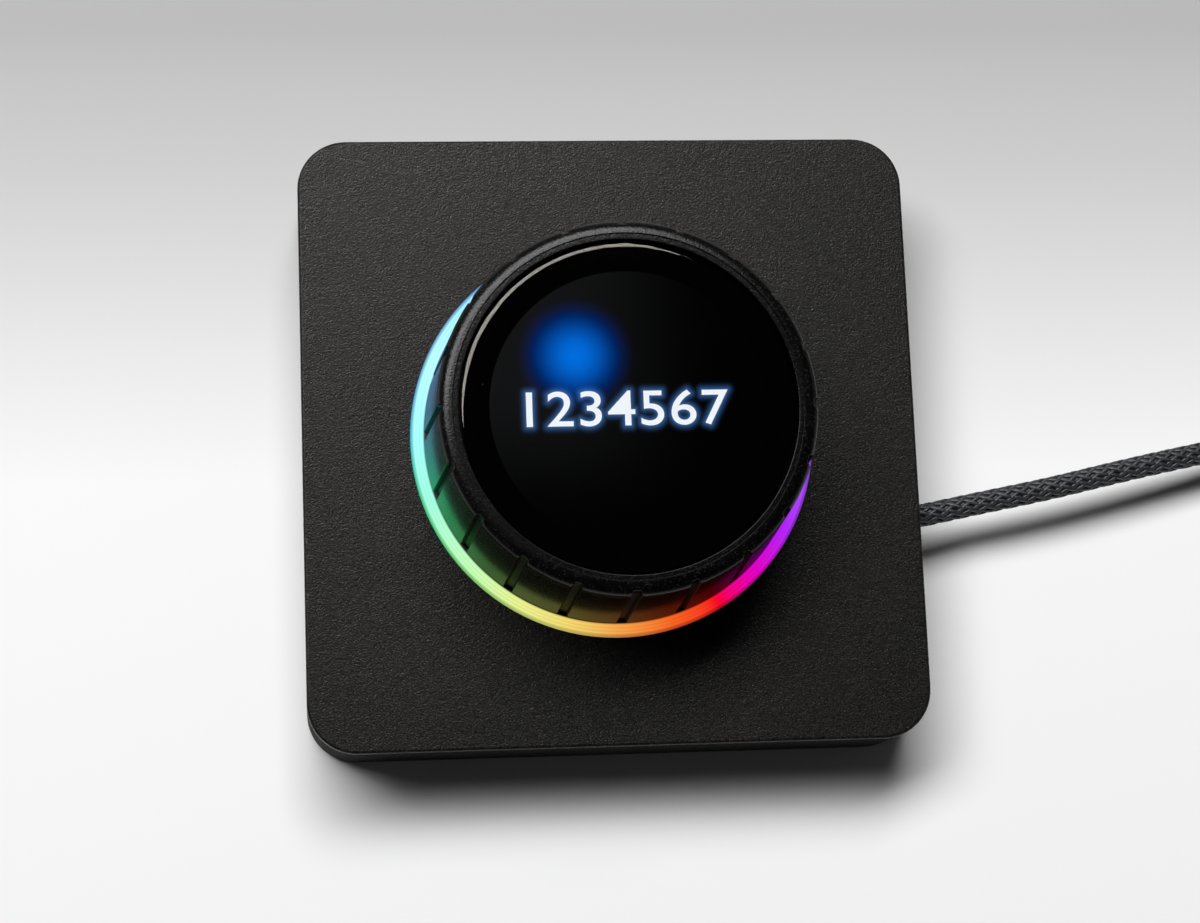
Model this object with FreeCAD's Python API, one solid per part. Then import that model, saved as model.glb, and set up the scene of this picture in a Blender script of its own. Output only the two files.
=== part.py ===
import FreeCAD, Part
import math
import os

from FreeCAD import Vector

# Knob controller: a square desk base with a lit ring, a turning knob and a round display.
# Millimetres, +Z up, +X towards the cable, +Y towards the back.
# The origin is on the desk, under the centre of the base.

# Base housing
base_side = 75.0
base_corner_radius = 6.0
base_height = 13.0
wall_thick = 2.4
deck_thick = 2.0
skin_thick = 1.2
skin_edge_round = 0.35
seam_depth = 0.3
seam_height = 0.3
cover_thick = 1.6
cover_gap = 0.1
cover_post_inset = 4.1
cover_post_radius = 3.4
foot_height = 1.0
foot_pocket_depth = 0.8
foot_radius = 4.5
foot_inset = 13.0
foot_edge_round = 0.3

# Lit ring and its light source
ring_width = 3.3
knob_over_ring = 1.75
ring_proud = 0.35
ring_groove_width = 0.16
ring_groove_depth = 0.12
ring_groove_count = 5
ring_flange_width = 1.0
ring_flange_thick = 0.4
ring_gap = 0.05
led_count = 24
led_side = 2.0
led_height = 0.8
led_lens_share = 0.38
led_lens_depth = 0.1
led_air = 0.1
led_board_thick = 0.8
led_board_gap = 0.1
tray_floor_thick = 1.5
tray_wall_thick = 0.9
baffle_height = 1.5
baffle_thick = 0.8

# Press mechanism
press_travel = 0.5
press_stop_gap = 0.1
press_plate_thick = 1.6
press_plate_edge = 3.0
guide_count = 4
guide_inset = 1.9
guide_start_angle = 45.0
guide_shoulder_radius = 1.5
guide_thread_radius = 1.1
guide_thread_length = 1.2
guide_head_radius = 2.9
guide_head_thick = 0.9
guide_running_gap = 0.08
spring_wire = 0.4
spring_mean_radius = 2.1
spring_turns = 2.5
spring_height = 2.6
spring_seat_gap = 0.02
switch_side = 4.5
switch_height = 1.2
switch_offset = 12.0
plunger_radius = 1.0
plunger_gap = 0.08
plunger_depth = 0.5

# Main board and what is on it
board_end_gap = 5.6
board_side_gap = 8.1
board_corner_radius = 2.0
board_thick = 1.2
board_hole_inset = 3.0
standoff_radius = 2.4
chip_height = 0.8
chip_places = [
    # length, width, x, y
    (7.0, 7.0, -2.0, 13.5),
    (5.0, 5.0, -1.0, -13.5),
    (6.0, 5.0, 9.5, 12.5),
    (4.0, 4.0, 10.0, -12.0),
]
socket_height = 0.9
socket_wall = 0.9
ballast_thick = 1.2
ballast_inset = 6.6
ballast_corner_radius = 5.0
hole_gap = 0.3

# Screws
cover_screw_head_radius = 2.3
cover_screw_head_height = 0.9
cover_screw_radius = 1.2
cover_screw_length = 6.0
board_screw_head_radius = 1.9
board_screw_head_height = 1.0
board_screw_radius = 0.9
board_screw_length = 3.0
knob_screw_inset = 3.7
knob_screw_count = 4
knob_screw_head_radius = 1.9
knob_screw_head_height = 0.9
knob_screw_radius = 1.0
knob_screw_length = 2.4
knob_screw_start_angle = 45.0
carrier_screw_inset = 2.0
carrier_screw_count = 3
carrier_screw_head_radius = 1.3
carrier_screw_head_height = 0.6
carrier_screw_radius = 0.7
motor_screw_inset = 1.4
motor_screw_count = 4
motor_screw_radius = 0.8
motor_screw_head_radius = 1.6
motor_screw_head_height = 0.5
motor_screw_length = 2.4
motor_screw_start_angle = 22.5
hex_share = 0.5
fit_gap = 0.03
overshoot = 1.0
tiny = 1e-6

# Motor, held by the press plate
housing_skirt_height = 2.9
housing_skirt_inset = 0.5
housing_skirt_thick = 2.5
housing_floor_thick = 1.2
housing_tube_wall = 1.5
bearing_lip = 0.4
bearing_bore_radius = 5.0
bearing_outer_radius = 7.5
bearing_width = 4.0
bearing_race_gap = 0.8
ball_radius = 0.68
ball_groove_gap = 0.04
ball_count = 10
cage_thick = 0.5
cage_height = 2.2
cage_pocket_gap = 0.08
spacer_length = 4.0
spacer_wall = 0.8
core_height = 7.0
core_ring_thick = 1.2
tooth_count = 12
tooth_width = 2.0
tooth_tip_thick = 1.0
slot_width = 1.2
winding_width = 3.9
winding_end = 1.2
winding_gap = 0.1
winding_corner_radius = 0.6
core_lift = 1.6
air_gap = 0.4
magnet_thick = 1.2
magnet_height = 8.0
magnet_count = 14
magnet_space_angle = 2.0
bell_wall = 1.1
bell_plate_thick = 1.4
bell_side_gap = 1.67
bell_gap = 0.8
bell_bottom_gap = 0.5
shaft_wall = 0.7
shaft_end_length = 2.0
clip_thick = 0.5
clip_groove_depth = 0.25
clip_width = 1.3
clip_mouth = 2.0
encoder_magnet_thick = 1.7
encoder_board_thick = 0.8
encoder_chip_side = 3.0
encoder_chip_height = 0.9
encoder_chip_inset = 2.1
encoder_chip_angle = 135.0

# Display post and display
post_gap = 0.6
post_wall = 0.9
post_shoulder_width = 0.8
post_shoulder_height = 0.8
post_flange_radius = 8.0
post_flange_thick = 0.9
web_thick = 1.4
web_gap = 1.5
flange_air = 1.0
carrier_thick = 1.2
carrier_rim_thick = 0.8
display_radius = 18.0
display_thick = 1.5
display_gap = 0.3
glass_border = 1.3
glass_thick = 1.3
glass_chamfer = 0.37
glass_gap = 0.35
flex_width = 4.0
flex_thick = 0.2
flex_slot_gap = 0.15
motor_flex_radius = 8.6

# Knob shell
knob_lift = 0.85
knob_wall_bottom_thick = 2.6
knob_wall_top_thick = 1.7
knob_rim_round = 1.1
knob_rim_proud = 0.2
knob_rim_step_width = 0.65
knob_rim_step_depth = 0.12
knob_opening_chamfer = 0.3
knob_opening_depth = 1.9
knob_lip_width = 0.7
knob_bottom_chamfer = 0.3
grip_count = 20
grip_width = 1.3
grip_floor_width = 0.8
grip_depth = 0.55

# Captive cable
cable_diameter = 3.0
gland_radius = 2.7
gland_flange_radius = 3.6
gland_flange_thick = 0.6
gland_gap = 0.05
inner_cable_length = 7.3
clamp_length = 2.6
clamp_width = 12.0
clamp_thick = 1.2
clamp_screw_spread = 4.3
clamp_from_exit = 5.9
lead_plug_length = 3.4
lead_plug_width = 5.4
lead_socket_length = 2.0
arc_share = 0.45
cable_angle = 11.0
cable_height = 6.5
cable_exit_y = -9.55
cable_exit_gap = 0.6
first_run_length = 8.25
run_points = [
    (55.6, -6.3, 6.44),
    (65.0, -4.2, 6.22),
    (74.6, -2.2, 5.5),
    (83.2, -0.55, 4.3),
    (90.8, 0.55, 2.95),
    (98.4, 1.0, 2.15),
    (106.0, 1.0, 2.15),
]
coil_outer_turn_radius = 22.3
coil_layer_count = 4
coil_climb_turns = 0.5
coil_pitch = 3.45
coil_turns_per_layer = 3.0
coil_last_layer_turns = 2.5
tail_points = [
    (106.0, 2.725, 12.5),
    (113.0, 2.725, 12.5),
    (121.9, 4.7, 12.3),
    (130.0, 10.2, 10.6),
    (134.9, 18.5, 7.7),
    (136.6, 27.6, 4.9),
    (136.2, 36.0, 3.3),
    (135.0, 43.2, 3.3),
]
tie_thick = 0.5
tie_width = 7.0
tie_gap = 0.15
tie_angles = (30.0, 205.0)
plug_length = 21.0
plug_width = 11.6
plug_height = 6.6
plug_round = 1.6
plug_shell_length = 6.65
plug_shell_width = 8.34
plug_shell_height = 2.56
plug_shell_wall = 0.3
plug_shell_seat = 1.0
plug_shell_round_share = 0.49
plug_liner_wall = 0.35
plug_liner_floor = 1.4
plug_contact_count = 6
plug_contact_width = 0.3
plug_contact_pitch = 0.8
plug_contact_thick = 0.12

# Heights that follow from the sizes above
underside_z = foot_height
cover_top_z = underside_z + cover_thick
plate_z = underside_z + base_height
deck_top_z = plate_z - skin_thick
ring_bottom_z = deck_top_z - ring_flange_thick
ring_top_z = plate_z + ring_proud
led_board_top_z = ring_bottom_z - led_air - led_height
tray_top_z = led_board_top_z - led_board_thick
tray_under_z = tray_top_z - tray_floor_thick
press_top_z = tray_under_z - press_stop_gap
press_under_z = press_top_z - press_plate_thick
board_top_z = press_under_z - press_travel - switch_height
board_under_z = board_top_z - board_thick
guide_head_top_z = press_under_z - spring_height
housing_floor_z = press_top_z + housing_skirt_height
housing_floor_top_z = housing_floor_z + housing_floor_thick
lower_bearing_z = housing_floor_z + bearing_lip
upper_bearing_z = lower_bearing_z + bearing_width + spacer_length
housing_top_z = upper_bearing_z + bearing_width
bell_under_z = housing_top_z + bell_gap
bell_top_z = bell_under_z + bell_plate_thick
core_z = housing_floor_top_z + core_lift
web_top_z = bell_top_z + web_thick
flange_under_z = bell_top_z + flange_air
flange_top_z = flange_under_z + post_flange_thick
carrier_top_z = flange_top_z + carrier_thick
display_top_z = carrier_top_z + display_thick
glass_top_z = display_top_z + glass_thick
knob_top_z = glass_top_z + knob_rim_proud
knob_bottom_z = ring_top_z + knob_lift

# Radii that follow from the sizes above, from the display outwards and then down the motor
glass_radius = display_radius + glass_border
carrier_radius = display_radius + display_gap + carrier_rim_thick
knob_opening_radius = glass_radius + glass_gap
knob_rim_step_radius = knob_opening_radius + knob_rim_step_width
knob_inner_radius = knob_opening_radius + knob_lip_width
knob_wall_top_radius = knob_inner_radius + knob_wall_top_thick
knob_bottom_radius = knob_inner_radius + knob_wall_bottom_thick
ring_inner_radius = knob_bottom_radius - knob_over_ring
ring_outer_radius = ring_inner_radius + ring_width
ring_flange_radius = ring_outer_radius + ring_flange_width
tray_inner_radius = ring_inner_radius - tray_wall_thick - led_board_gap
tray_hole_radius = tray_inner_radius - tray_wall_thick
led_board_outer_radius = ring_flange_radius
led_board_inner_radius = tray_inner_radius + led_board_gap
tray_recess_radius = ring_flange_radius + led_board_gap
tray_outer_radius = tray_recess_radius + tray_wall_thick
led_circle_radius = (ring_outer_radius + ring_inner_radius) / 2
guide_circle_radius = tray_hole_radius + guide_inset
press_plate_radius = guide_circle_radius + press_plate_edge
bell_outer_radius = tray_hole_radius - bell_side_gap
bell_inner_radius = bell_outer_radius - bell_wall
magnet_inner_radius = bell_inner_radius - fit_gap - magnet_thick
core_outer_radius = magnet_inner_radius - air_gap
housing_skirt_outer_radius = core_outer_radius - housing_skirt_inset
housing_skirt_inner_radius = housing_skirt_outer_radius - housing_skirt_thick
motor_screw_circle_radius = housing_skirt_outer_radius - motor_screw_inset
encoder_board_radius = motor_screw_circle_radius - motor_screw_head_radius - hole_gap
encoder_chip_radius = encoder_board_radius - encoder_chip_inset
housing_tube_radius = bearing_outer_radius + housing_tube_wall
ball_circle_radius = (bearing_bore_radius + bearing_outer_radius) / 2
bearing_race_thick = (bearing_outer_radius - bearing_bore_radius - bearing_race_gap) / 2
shaft_inner_radius = bearing_bore_radius - shaft_wall
post_radius = shaft_inner_radius - post_gap
post_shoulder_radius = post_radius + post_shoulder_width
web_inner_radius = post_flange_radius + web_gap
knob_screw_circle_radius = web_inner_radius + knob_screw_inset
carrier_screw_circle_radius = post_flange_radius - carrier_screw_inset

# Half widths and spacings that follow from the base's side
inner_half = base_side / 2 - wall_thick
cover_half = inner_half - cover_gap
cover_post_spacing = 2 * (inner_half - cover_post_inset)
foot_spacing = base_side - 2 * foot_inset
ballast_side = 2 * (inner_half - ballast_inset)
board_length = 2 * (inner_half - board_end_gap)
board_width = 2 * (inner_half - board_side_gap)
board_hole_spacing = board_width - 2 * board_hole_inset

# Cable values that follow from the sizes above
cable_radius = cable_diameter / 2
cable_way = Vector(math.cos(math.radians(cable_angle)), math.sin(math.radians(cable_angle)), 0)
cable_exit = Vector(base_side / 2 + cable_exit_gap, cable_exit_y, cable_height)
whole_run = [tuple(cable_exit), tuple(cable_exit + cable_way * first_run_length)] + run_points
coil_centre = Vector(run_points[-1][0], run_points[-1][1] + coil_outer_turn_radius, 0)
coil_first_height = run_points[-1][2]
coil_bulge = coil_pitch * coil_climb_turns / math.pi


def cylinder(radius, low, high, x=0.0, y=0.0):
    return Part.makeCylinder(radius, high - low, Vector(x, y, low))


def tube(outer, inner, low, high):
    return cylinder(outer, low, high).cut(cylinder(inner, low - overshoot, high + overshoot))


def block(length, width, low, high, x=0.0, y=0.0):
    corner = Vector(x - length / 2, y - width / 2, low)
    return Part.makeBox(length, width, high - low, corner)


def rounded_block(length, width, radius, low, high):
    shape = block(length, width, low, high)
    upright = [e for e in shape.Edges if abs(e.Vertexes[0].Z - e.Vertexes[1].Z) > tiny]
    return shape.makeFillet(radius, upright)


def revolve(points):
    wire = Part.makePolygon([Vector(r, 0, z) for r, z in points + points[:1]])
    return Part.Face(wire).revolve(Vector(), Vector(0, 0, 1), 360)


def turned(shape, angle):
    copy = shape.copy()
    copy.rotate(Vector(), Vector(0, 0, 1), angle)
    return copy


def around(shape, count, start=0.0):
    return [turned(shape, start + 360.0 * i / count) for i in range(count)]


def four_corners(spacing):
    half = spacing / 2
    return [(x, y) for x in (-half, half) for y in (-half, half)]


def group(shapes):
    return Part.makeCompound(shapes)


def cut_all(shape, tools):
    return shape.cut(group(tools))


def fuse_all(shapes):
    return shapes[0].multiFuse(shapes[1:]).removeSplitter()


def save(name, shape):
    shape.exportStep("parts/" + name + ".step")
    volume = sum(solid.Volume for solid in shape.Solids)
    print(name, len(shape.Solids), "solids", round(volume, 2), "mm3", shape.isValid())


def hex_prism(radius, low, high):
    corners = [Vector(radius * math.cos(math.radians(a)), radius * math.sin(math.radians(a)), low)
               for a in range(0, 361, 60)]
    return Part.Face(Part.makePolygon(corners)).extrude(Vector(0, 0, high - low))


def screw(head_radius, head_height, radius, length, countersunk=False):
    """Head above z=0, shank below, with a hexagon socket in the head."""
    if countersunk:
        head = Part.makeCone(radius, head_radius, head_height, Vector(0, 0, 0))
    else:
        head = cylinder(head_radius, 0, head_height)
    body = fuse_all([head, cylinder(radius, -length, 0)])
    socket = hex_prism(head_radius * hex_share, head_height / 2, head_height + overshoot)
    return body.cut(socket)


def placed(shape, x, y, z, upside_down=False):
    copy = shape.copy()
    if upside_down:
        copy.rotate(Vector(), Vector(1, 0, 0), 180)
    copy.translate(Vector(x, y, z))
    return copy


# Cable paths

def rounded_route(points):
    """Straight runs joined by tangent arcs, each as large as its two runs allow."""
    corners = [Vector(*p) for p in points]
    edges = []
    radii = []
    here = corners[0]
    for before, corner, after in zip(corners, corners[1:], corners[2:]):
        arriving = (corner - before).normalize()
        leaving = (after - corner).normalize()
        shorter = min((corner - before).Length, (after - corner).Length)
        reach = arc_share * shorter
        half_turn = arriving.getAngle(leaving) / 2
        radius = reach / math.tan(half_turn)
        radii.append(radius)
        start = corner - arriving * reach
        end = corner + leaving * reach
        bisector = (leaving - arriving).normalize()
        middle = corner + bisector * (radius / math.cos(half_turn) - radius)
        edges.append(Part.LineSegment(here, start).toShape())
        edges.append(Part.Arc(start, middle, end).toShape())
        here = end
    edges.append(Part.LineSegment(here, corners[-1]).toShape())
    return Part.Wire(edges), radii


def arc_from_tangent(start, direction, end):
    chord = end - start
    along = Vector(chord).normalize()
    side = direction - along * direction.dot(along)
    if side.Length < tiny:
        return Part.LineSegment(start, end).toShape()
    angle = direction.getAngle(along)
    rise = chord.Length / 2 * math.tan(angle / 2)
    middle = start + chord * 0.5 + side.normalize() * rise
    return Part.Arc(start, middle, end).toShape()


def biarc(start, start_way, end, end_way):
    """Two arcs that leave start along start_way and reach end along end_way."""
    chord = end - start
    ways = start_way + end_way
    spread = 2 * (1 - start_way.dot(end_way))
    if spread < tiny * tiny:
        reach = chord.dot(chord) / (4 * chord.dot(end_way))
    else:
        across = chord.dot(ways)
        reach = (-across + math.sqrt(across * across + spread * chord.dot(chord))) / spread
    middle = (start + end) * 0.5 + (start_way - end_way) * (reach / 2)
    first = arc_from_tangent(start, start_way, middle)
    second = arc_from_tangent(end, end_way * -1, middle)
    return [first, second]


def swept_tube(wire, radius):
    first = wire.OrderedEdges[0]
    start = wire.OrderedVertexes[0].Point
    way = first.tangentAt(first.FirstParameter)
    if (first.valueAt(first.FirstParameter) - start).Length > tiny:
        way = first.tangentAt(first.LastParameter) * -1
    section = Part.Wire(Part.makeCircle(radius, start, way))
    sweep = Part.BRepOffsetAPI.MakePipeShell(wire)
    sweep.add(section)
    sweep.build()
    sweep.makeSolid()
    solid = sweep.shape()
    expected = math.pi * radius ** 2 * wire.Length
    print("tube volume over section times length", round(solid.Volume / expected, 4))
    return solid


def wound_wire(place, steps, lead_in=None, lead_out=None):
    """A wire through place(i) for i in 0..steps, one biarc to each quarter turn."""
    edges = []
    if lead_in:
        start, way = place(0)
        edges.append(Part.LineSegment(start - way * lead_in, start).toShape())
    for i in range(steps):
        start, start_way = place(i)
        end, end_way = place(i + 1)
        edges += biarc(start, start_way, end, end_way)
    if lead_out:
        end, way = place(steps)
        edges.append(Part.LineSegment(end, end + way * lead_out).toShape())
    return Part.Wire(Part.__sortEdges__(edges))


def least_gap(wire, diameter, skip):
    """The least gap of a tube to itself, from points at least skip mm apart along it."""
    count = int(wire.Length / (diameter / 2))
    points = wire.discretize(Number=count)
    step = wire.Length / (count - 1)
    apart = int(skip / step) + 1
    least = 1e9
    for i in range(count):
        for j in range(i + apart, count):
            least = min(least, points[i].distanceToPoint(points[j]))
    return least - diameter


def along_cable(shape):
    """Move a piece drawn along +X from the origin to the cable's exit and slant."""
    copy = turned(shape, cable_angle)
    copy.translate(cable_exit)
    return copy


# Base

def rounded_outline(side, low, high):
    inset = (base_side - side) / 2
    return rounded_block(side, side, base_corner_radius - inset, low, high)


def base_shell():
    outer = rounded_outline(base_side, underside_z, deck_top_z)
    seam_top = rounded_outline(base_side, deck_top_z - seam_height, deck_top_z)
    seam_core = rounded_outline(base_side - 2 * seam_depth, deck_top_z - seam_height, deck_top_z)
    shell = outer.cut(seam_top.cut(seam_core))
    room = rounded_outline(2 * inner_half, underside_z, deck_top_z - deck_thick)
    shell = shell.cut(room)
    posts = [cylinder(cover_post_radius, cover_top_z, deck_top_z - deck_thick, x, y)
             for x, y in four_corners(cover_post_spacing)]
    tray = cylinder(tray_outer_radius, tray_under_z, deck_top_z)
    shell = fuse_all([shell, tray] + posts)
    cuts = [
        cylinder(tray_hole_radius, underside_z, plate_z),
        tube(tray_recess_radius, tray_inner_radius, tray_top_z, plate_z),
    ]
    for x, y in four_corners(cover_post_spacing):
        depth = cover_screw_length + hole_gap
        cuts.append(cylinder(cover_screw_radius + fit_gap, underside_z, underside_z
                             + cover_screw_head_height + depth, x, y))
    for x, y in guide_places():
        cuts.append(cylinder(guide_thread_radius + fit_gap, tray_under_z,
                             tray_under_z + guide_thread_length, x, y))
    cuts.append(along_cable(cable_bore(gland_radius + gland_gap)))
    cuts.append(led_lead_slot(hole_gap, tray_under_z, tray_top_z))
    return cut_all(shell, cuts)


def guide_places():
    places = []
    for i in range(guide_count):
        angle = math.radians(guide_start_angle + 360.0 * i / guide_count)
        places.append((guide_circle_radius * math.cos(angle), guide_circle_radius * math.sin(angle)))
    return places


def cable_bore(radius):
    return Part.makeCylinder(radius, 3 * wall_thick, Vector(-2 * wall_thick, 0, 0), Vector(1, 0, 0))


def top_skin():
    skin = rounded_outline(base_side, deck_top_z, plate_z)
    top_edges = [e for e in skin.Edges if min(v.Z for v in e.Vertexes) > plate_z - tiny]
    skin = skin.makeFillet(skin_edge_round, top_edges)
    hole = cylinder(ring_outer_radius + ring_gap, deck_top_z, plate_z)
    return skin.cut(hole)


def bottom_cover():
    cover = rounded_outline(2 * cover_half, underside_z, cover_top_z)
    standoffs = [cylinder(standoff_radius, cover_top_z, board_under_z, x, y)
                 for x, y in four_corners(board_hole_spacing)]
    cover = fuse_all([cover, clamp_pedestal()] + standoffs)
    cuts = []
    for x, y in four_corners(cover_post_spacing):
        cuts.append(cylinder(cover_screw_radius + hole_gap, underside_z, cover_top_z, x, y))
        cuts.append(cylinder(cover_screw_head_radius + hole_gap, underside_z,
                             underside_z + cover_screw_head_height, x, y))
    for x, y in four_corners(foot_spacing):
        cuts.append(cylinder(foot_radius + fit_gap, underside_z, underside_z + foot_pocket_depth, x, y))
    for x, y in four_corners(board_hole_spacing):
        cuts.append(cylinder(board_screw_radius + fit_gap, board_top_z - board_screw_length,
                             board_top_z, x, y))
    for x, y in clamp_screw_places():
        cuts.append(cylinder(board_screw_radius + fit_gap, clamp_low_z() - board_screw_length,
                             board_top_z, x, y))
    return cut_all(cover, cuts)


def rubber_feet():
    foot = cylinder(foot_radius, 0, foot_height + foot_pocket_depth)
    rim = [e for e in foot.Edges if max(v.Z for v in e.Vertexes) < tiny]
    foot = foot.makeFillet(foot_edge_round, rim)
    return group([placed(foot, x, y, 0) for x, y in four_corners(foot_spacing)])


def cover_screws():
    one = screw(cover_screw_head_radius, cover_screw_head_height, cover_screw_radius, cover_screw_length)
    z = underside_z + cover_screw_head_height
    return group([placed(one, x, y, z, True) for x, y in four_corners(cover_post_spacing)])


def ballast_plate():
    plate = rounded_block(ballast_side, ballast_side, ballast_corner_radius,
                          cover_top_z, cover_top_z + ballast_thick)
    holes = [cylinder(standoff_radius + hole_gap, cover_top_z, board_under_z, x, y)
             for x, y in four_corners(board_hole_spacing)]
    return cut_all(plate, holes)


def main_board():
    board = rounded_block(board_length, board_width, board_corner_radius, board_under_z, board_top_z)
    holes = [cylinder(board_screw_radius + hole_gap, board_under_z, board_top_z, x, y)
             for x, y in four_corners(board_hole_spacing)]
    holes += [cylinder(guide_head_radius + 2 * hole_gap, board_under_z, board_top_z, x, y)
              for x, y in guide_places()]
    return cut_all(board, holes)


def board_screws():
    one = screw(board_screw_head_radius, board_screw_head_height, board_screw_radius, board_screw_length)
    places = [placed(one, x, y, board_top_z) for x, y in four_corners(board_hole_spacing)]
    return group(places)


def chips():
    top = board_top_z + chip_height
    return group([block(length, width, board_top_z, top, x, y) for length, width, x, y in chip_places])


def flex_socket(x, angle=0.0):
    high = board_top_z + socket_height
    body = block(flex_width + 2 * socket_wall, flex_thick + 2 * socket_wall, board_top_z, high)
    slot = block(flex_width + flex_slot_gap, flex_thick + flex_slot_gap, flex_low_z(), high)
    return placed(turned(body.cut(slot), angle), x, 0, 0)


def flex_low_z():
    return board_top_z + flex_slot_gap


def flex_sockets():
    return group([flex_socket(0.0), flex_socket(motor_flex_radius, 90),
                  flex_socket(led_lead_x(), 90)])


def led_lead_x():
    return press_plate_radius + socket_wall + hole_gap


def led_lead_slot(gap, low, high):
    return block(flex_thick + 2 * gap, flex_width + 2 * gap, low, high, led_lead_x())


def led_lead():
    return led_lead_slot(0.0, flex_low_z(), tray_top_z)


def tact_switch():
    body = block(switch_side, switch_side, board_top_z, board_top_z + switch_height, -switch_offset)
    hole = cylinder(plunger_radius + plunger_gap, press_under_z - press_travel - plunger_depth
                    - press_travel - plunger_gap, press_under_z, -switch_offset)
    return body.cut(hole)


def switch_plunger():
    return cylinder(plunger_radius, press_under_z - press_travel - plunger_depth, press_under_z,
                    -switch_offset)


def guide_screws():
    shoulder = cylinder(guide_shoulder_radius, guide_head_top_z, tray_under_z)
    thread = cylinder(guide_thread_radius, tray_under_z, tray_under_z + guide_thread_length)
    head = cylinder(guide_head_radius, guide_head_top_z - guide_head_thick, guide_head_top_z)
    one = fuse_all([shoulder, thread, head])
    depth = guide_head_thick / 2
    one = one.cut(hex_prism(guide_head_radius * hex_share, guide_head_top_z - guide_head_thick - depth,
                            guide_head_top_z - depth))
    return group([placed(one, x, y, 0) for x, y in guide_places()])


def return_springs():
    low = guide_head_top_z + spring_wire / 2 + spring_seat_gap
    high = press_under_z - spring_wire / 2 - spring_seat_gap
    steps = int(spring_turns * 4)

    def place(i):
        angle = i * math.pi / 2
        rise = (high - low) / (steps * math.pi / 2)
        point = Vector(spring_mean_radius * math.cos(angle), spring_mean_radius * math.sin(angle),
                       low + rise * angle)
        way = Vector(-spring_mean_radius * math.sin(angle), spring_mean_radius * math.cos(angle), rise)
        return point, way.normalize()

    wire = wound_wire(place, steps)
    one = swept_tube(wire, spring_wire / 2)
    return group([placed(one, x, y, 0) for x, y in guide_places()])


# Lit ring

def light_ring():
    body = tube(ring_outer_radius, ring_inner_radius, ring_bottom_z, ring_top_z)
    flange = tube(ring_flange_radius, ring_inner_radius, ring_bottom_z, deck_top_z)
    ring = fuse_all([body, flange])
    width = ring_outer_radius - ring_inner_radius
    cuts = []
    for i in range(ring_groove_count):
        middle = ring_inner_radius + width * (i + 1) / (ring_groove_count + 1)
        cuts.append(tube(middle + ring_groove_width / 2, middle - ring_groove_width / 2,
                         ring_top_z - ring_groove_depth, ring_top_z + overshoot))
    return cut_all(ring, cuts)


def led_board():
    return tube(led_board_outer_radius, led_board_inner_radius, tray_top_z, led_board_top_z)


def leds():
    one = block(led_side, led_side, led_board_top_z, led_board_top_z + led_height, led_circle_radius)
    top = led_board_top_z + led_height
    lens = cylinder(led_side * led_lens_share, top - led_lens_depth, top, led_circle_radius)
    return group(around(one.cut(lens), led_count))


def light_baffle():
    outer = tray_inner_radius
    return tube(outer, outer - baffle_thick, deck_top_z, deck_top_z + baffle_height)


# Head that can be pressed: plate, motor stator, post and display

def press_plate():
    plate = cylinder(press_plate_radius, press_under_z, press_top_z)
    cuts = [cylinder(post_radius + fit_gap, press_under_z, press_top_z)]
    for x, y in guide_places():
        cuts.append(cylinder(guide_shoulder_radius + guide_running_gap, press_under_z, press_top_z, x, y))
    gap = 2 * hole_gap
    cuts.append(block(flex_thick + 2 * gap, flex_width + 2 * gap, press_under_z, press_top_z,
                      motor_flex_radius))
    for shape in around(cylinder(motor_screw_radius + hole_gap, press_under_z, press_top_z,
                                 motor_screw_circle_radius), motor_screw_count, motor_screw_start_angle):
        cuts.append(shape)
    for shape in around(cylinder(motor_screw_head_radius + hole_gap, press_under_z,
                                 press_under_z + motor_screw_head_height,
                                 motor_screw_circle_radius), motor_screw_count, motor_screw_start_angle):
        cuts.append(shape)
    return cut_all(plate, cuts)


def motor_screws():
    one = screw(motor_screw_head_radius, motor_screw_head_height, motor_screw_radius, motor_screw_length)
    low = placed(one, motor_screw_circle_radius, 0, press_under_z + motor_screw_head_height, True)
    return group(around(low, motor_screw_count, motor_screw_start_angle))


def stator_housing():
    skirt = tube(housing_skirt_outer_radius, housing_skirt_inner_radius, press_top_z, housing_floor_z)
    bosses = around(cylinder(motor_screw_head_radius, press_top_z, housing_floor_z,
                             motor_screw_circle_radius), motor_screw_count, motor_screw_start_angle)
    bosses = [boss.common(cylinder(housing_skirt_outer_radius, press_top_z, housing_floor_z))
              for boss in bosses]
    floor = cylinder(housing_skirt_outer_radius, housing_floor_z, housing_floor_top_z)
    sleeve = cylinder(housing_tube_radius, housing_floor_z, housing_top_z)
    body = fuse_all([skirt, floor, sleeve] + bosses)
    cuts = [
        cylinder(bearing_outer_radius + fit_gap, lower_bearing_z, housing_top_z),
        cylinder(bearing_outer_radius - bearing_race_thick / 2, press_top_z, housing_top_z),
    ]
    depth = motor_screw_length - press_plate_thick + motor_screw_head_height + hole_gap
    for shape in around(cylinder(motor_screw_radius + fit_gap, press_top_z, press_top_z + depth,
                                 motor_screw_circle_radius), motor_screw_count, motor_screw_start_angle):
        cuts.append(shape)
    lead_window = block(2 * housing_skirt_outer_radius, flex_width, press_top_z, press_top_z
                        + housing_skirt_height / 2, -housing_skirt_outer_radius)
    cuts.append(lead_window)
    return cut_all(body, cuts)


def stator_core():
    top = core_z + core_height
    inner = housing_tube_radius + fit_gap
    ring = tube(inner + core_ring_thick, inner, core_z, top)
    tip_ring = tube(core_outer_radius, core_outer_radius - tooth_tip_thick, core_z, top)
    tooth_length = core_outer_radius - tooth_tip_thick / 2 - inner - core_ring_thick / 2
    tooth_middle = inner + core_ring_thick / 2 + tooth_length / 2
    tooth = block(tooth_length, tooth_width, core_z, top, tooth_middle)
    slot = block(2 * tooth_tip_thick + overshoot, slot_width, core_z, top, core_outer_radius)
    slots = around(slot, tooth_count, 180.0 / tooth_count)
    tips = cut_all(tip_ring, slots)
    return fuse_all([ring] + around(tooth, tooth_count) + tips.Solids)


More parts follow.
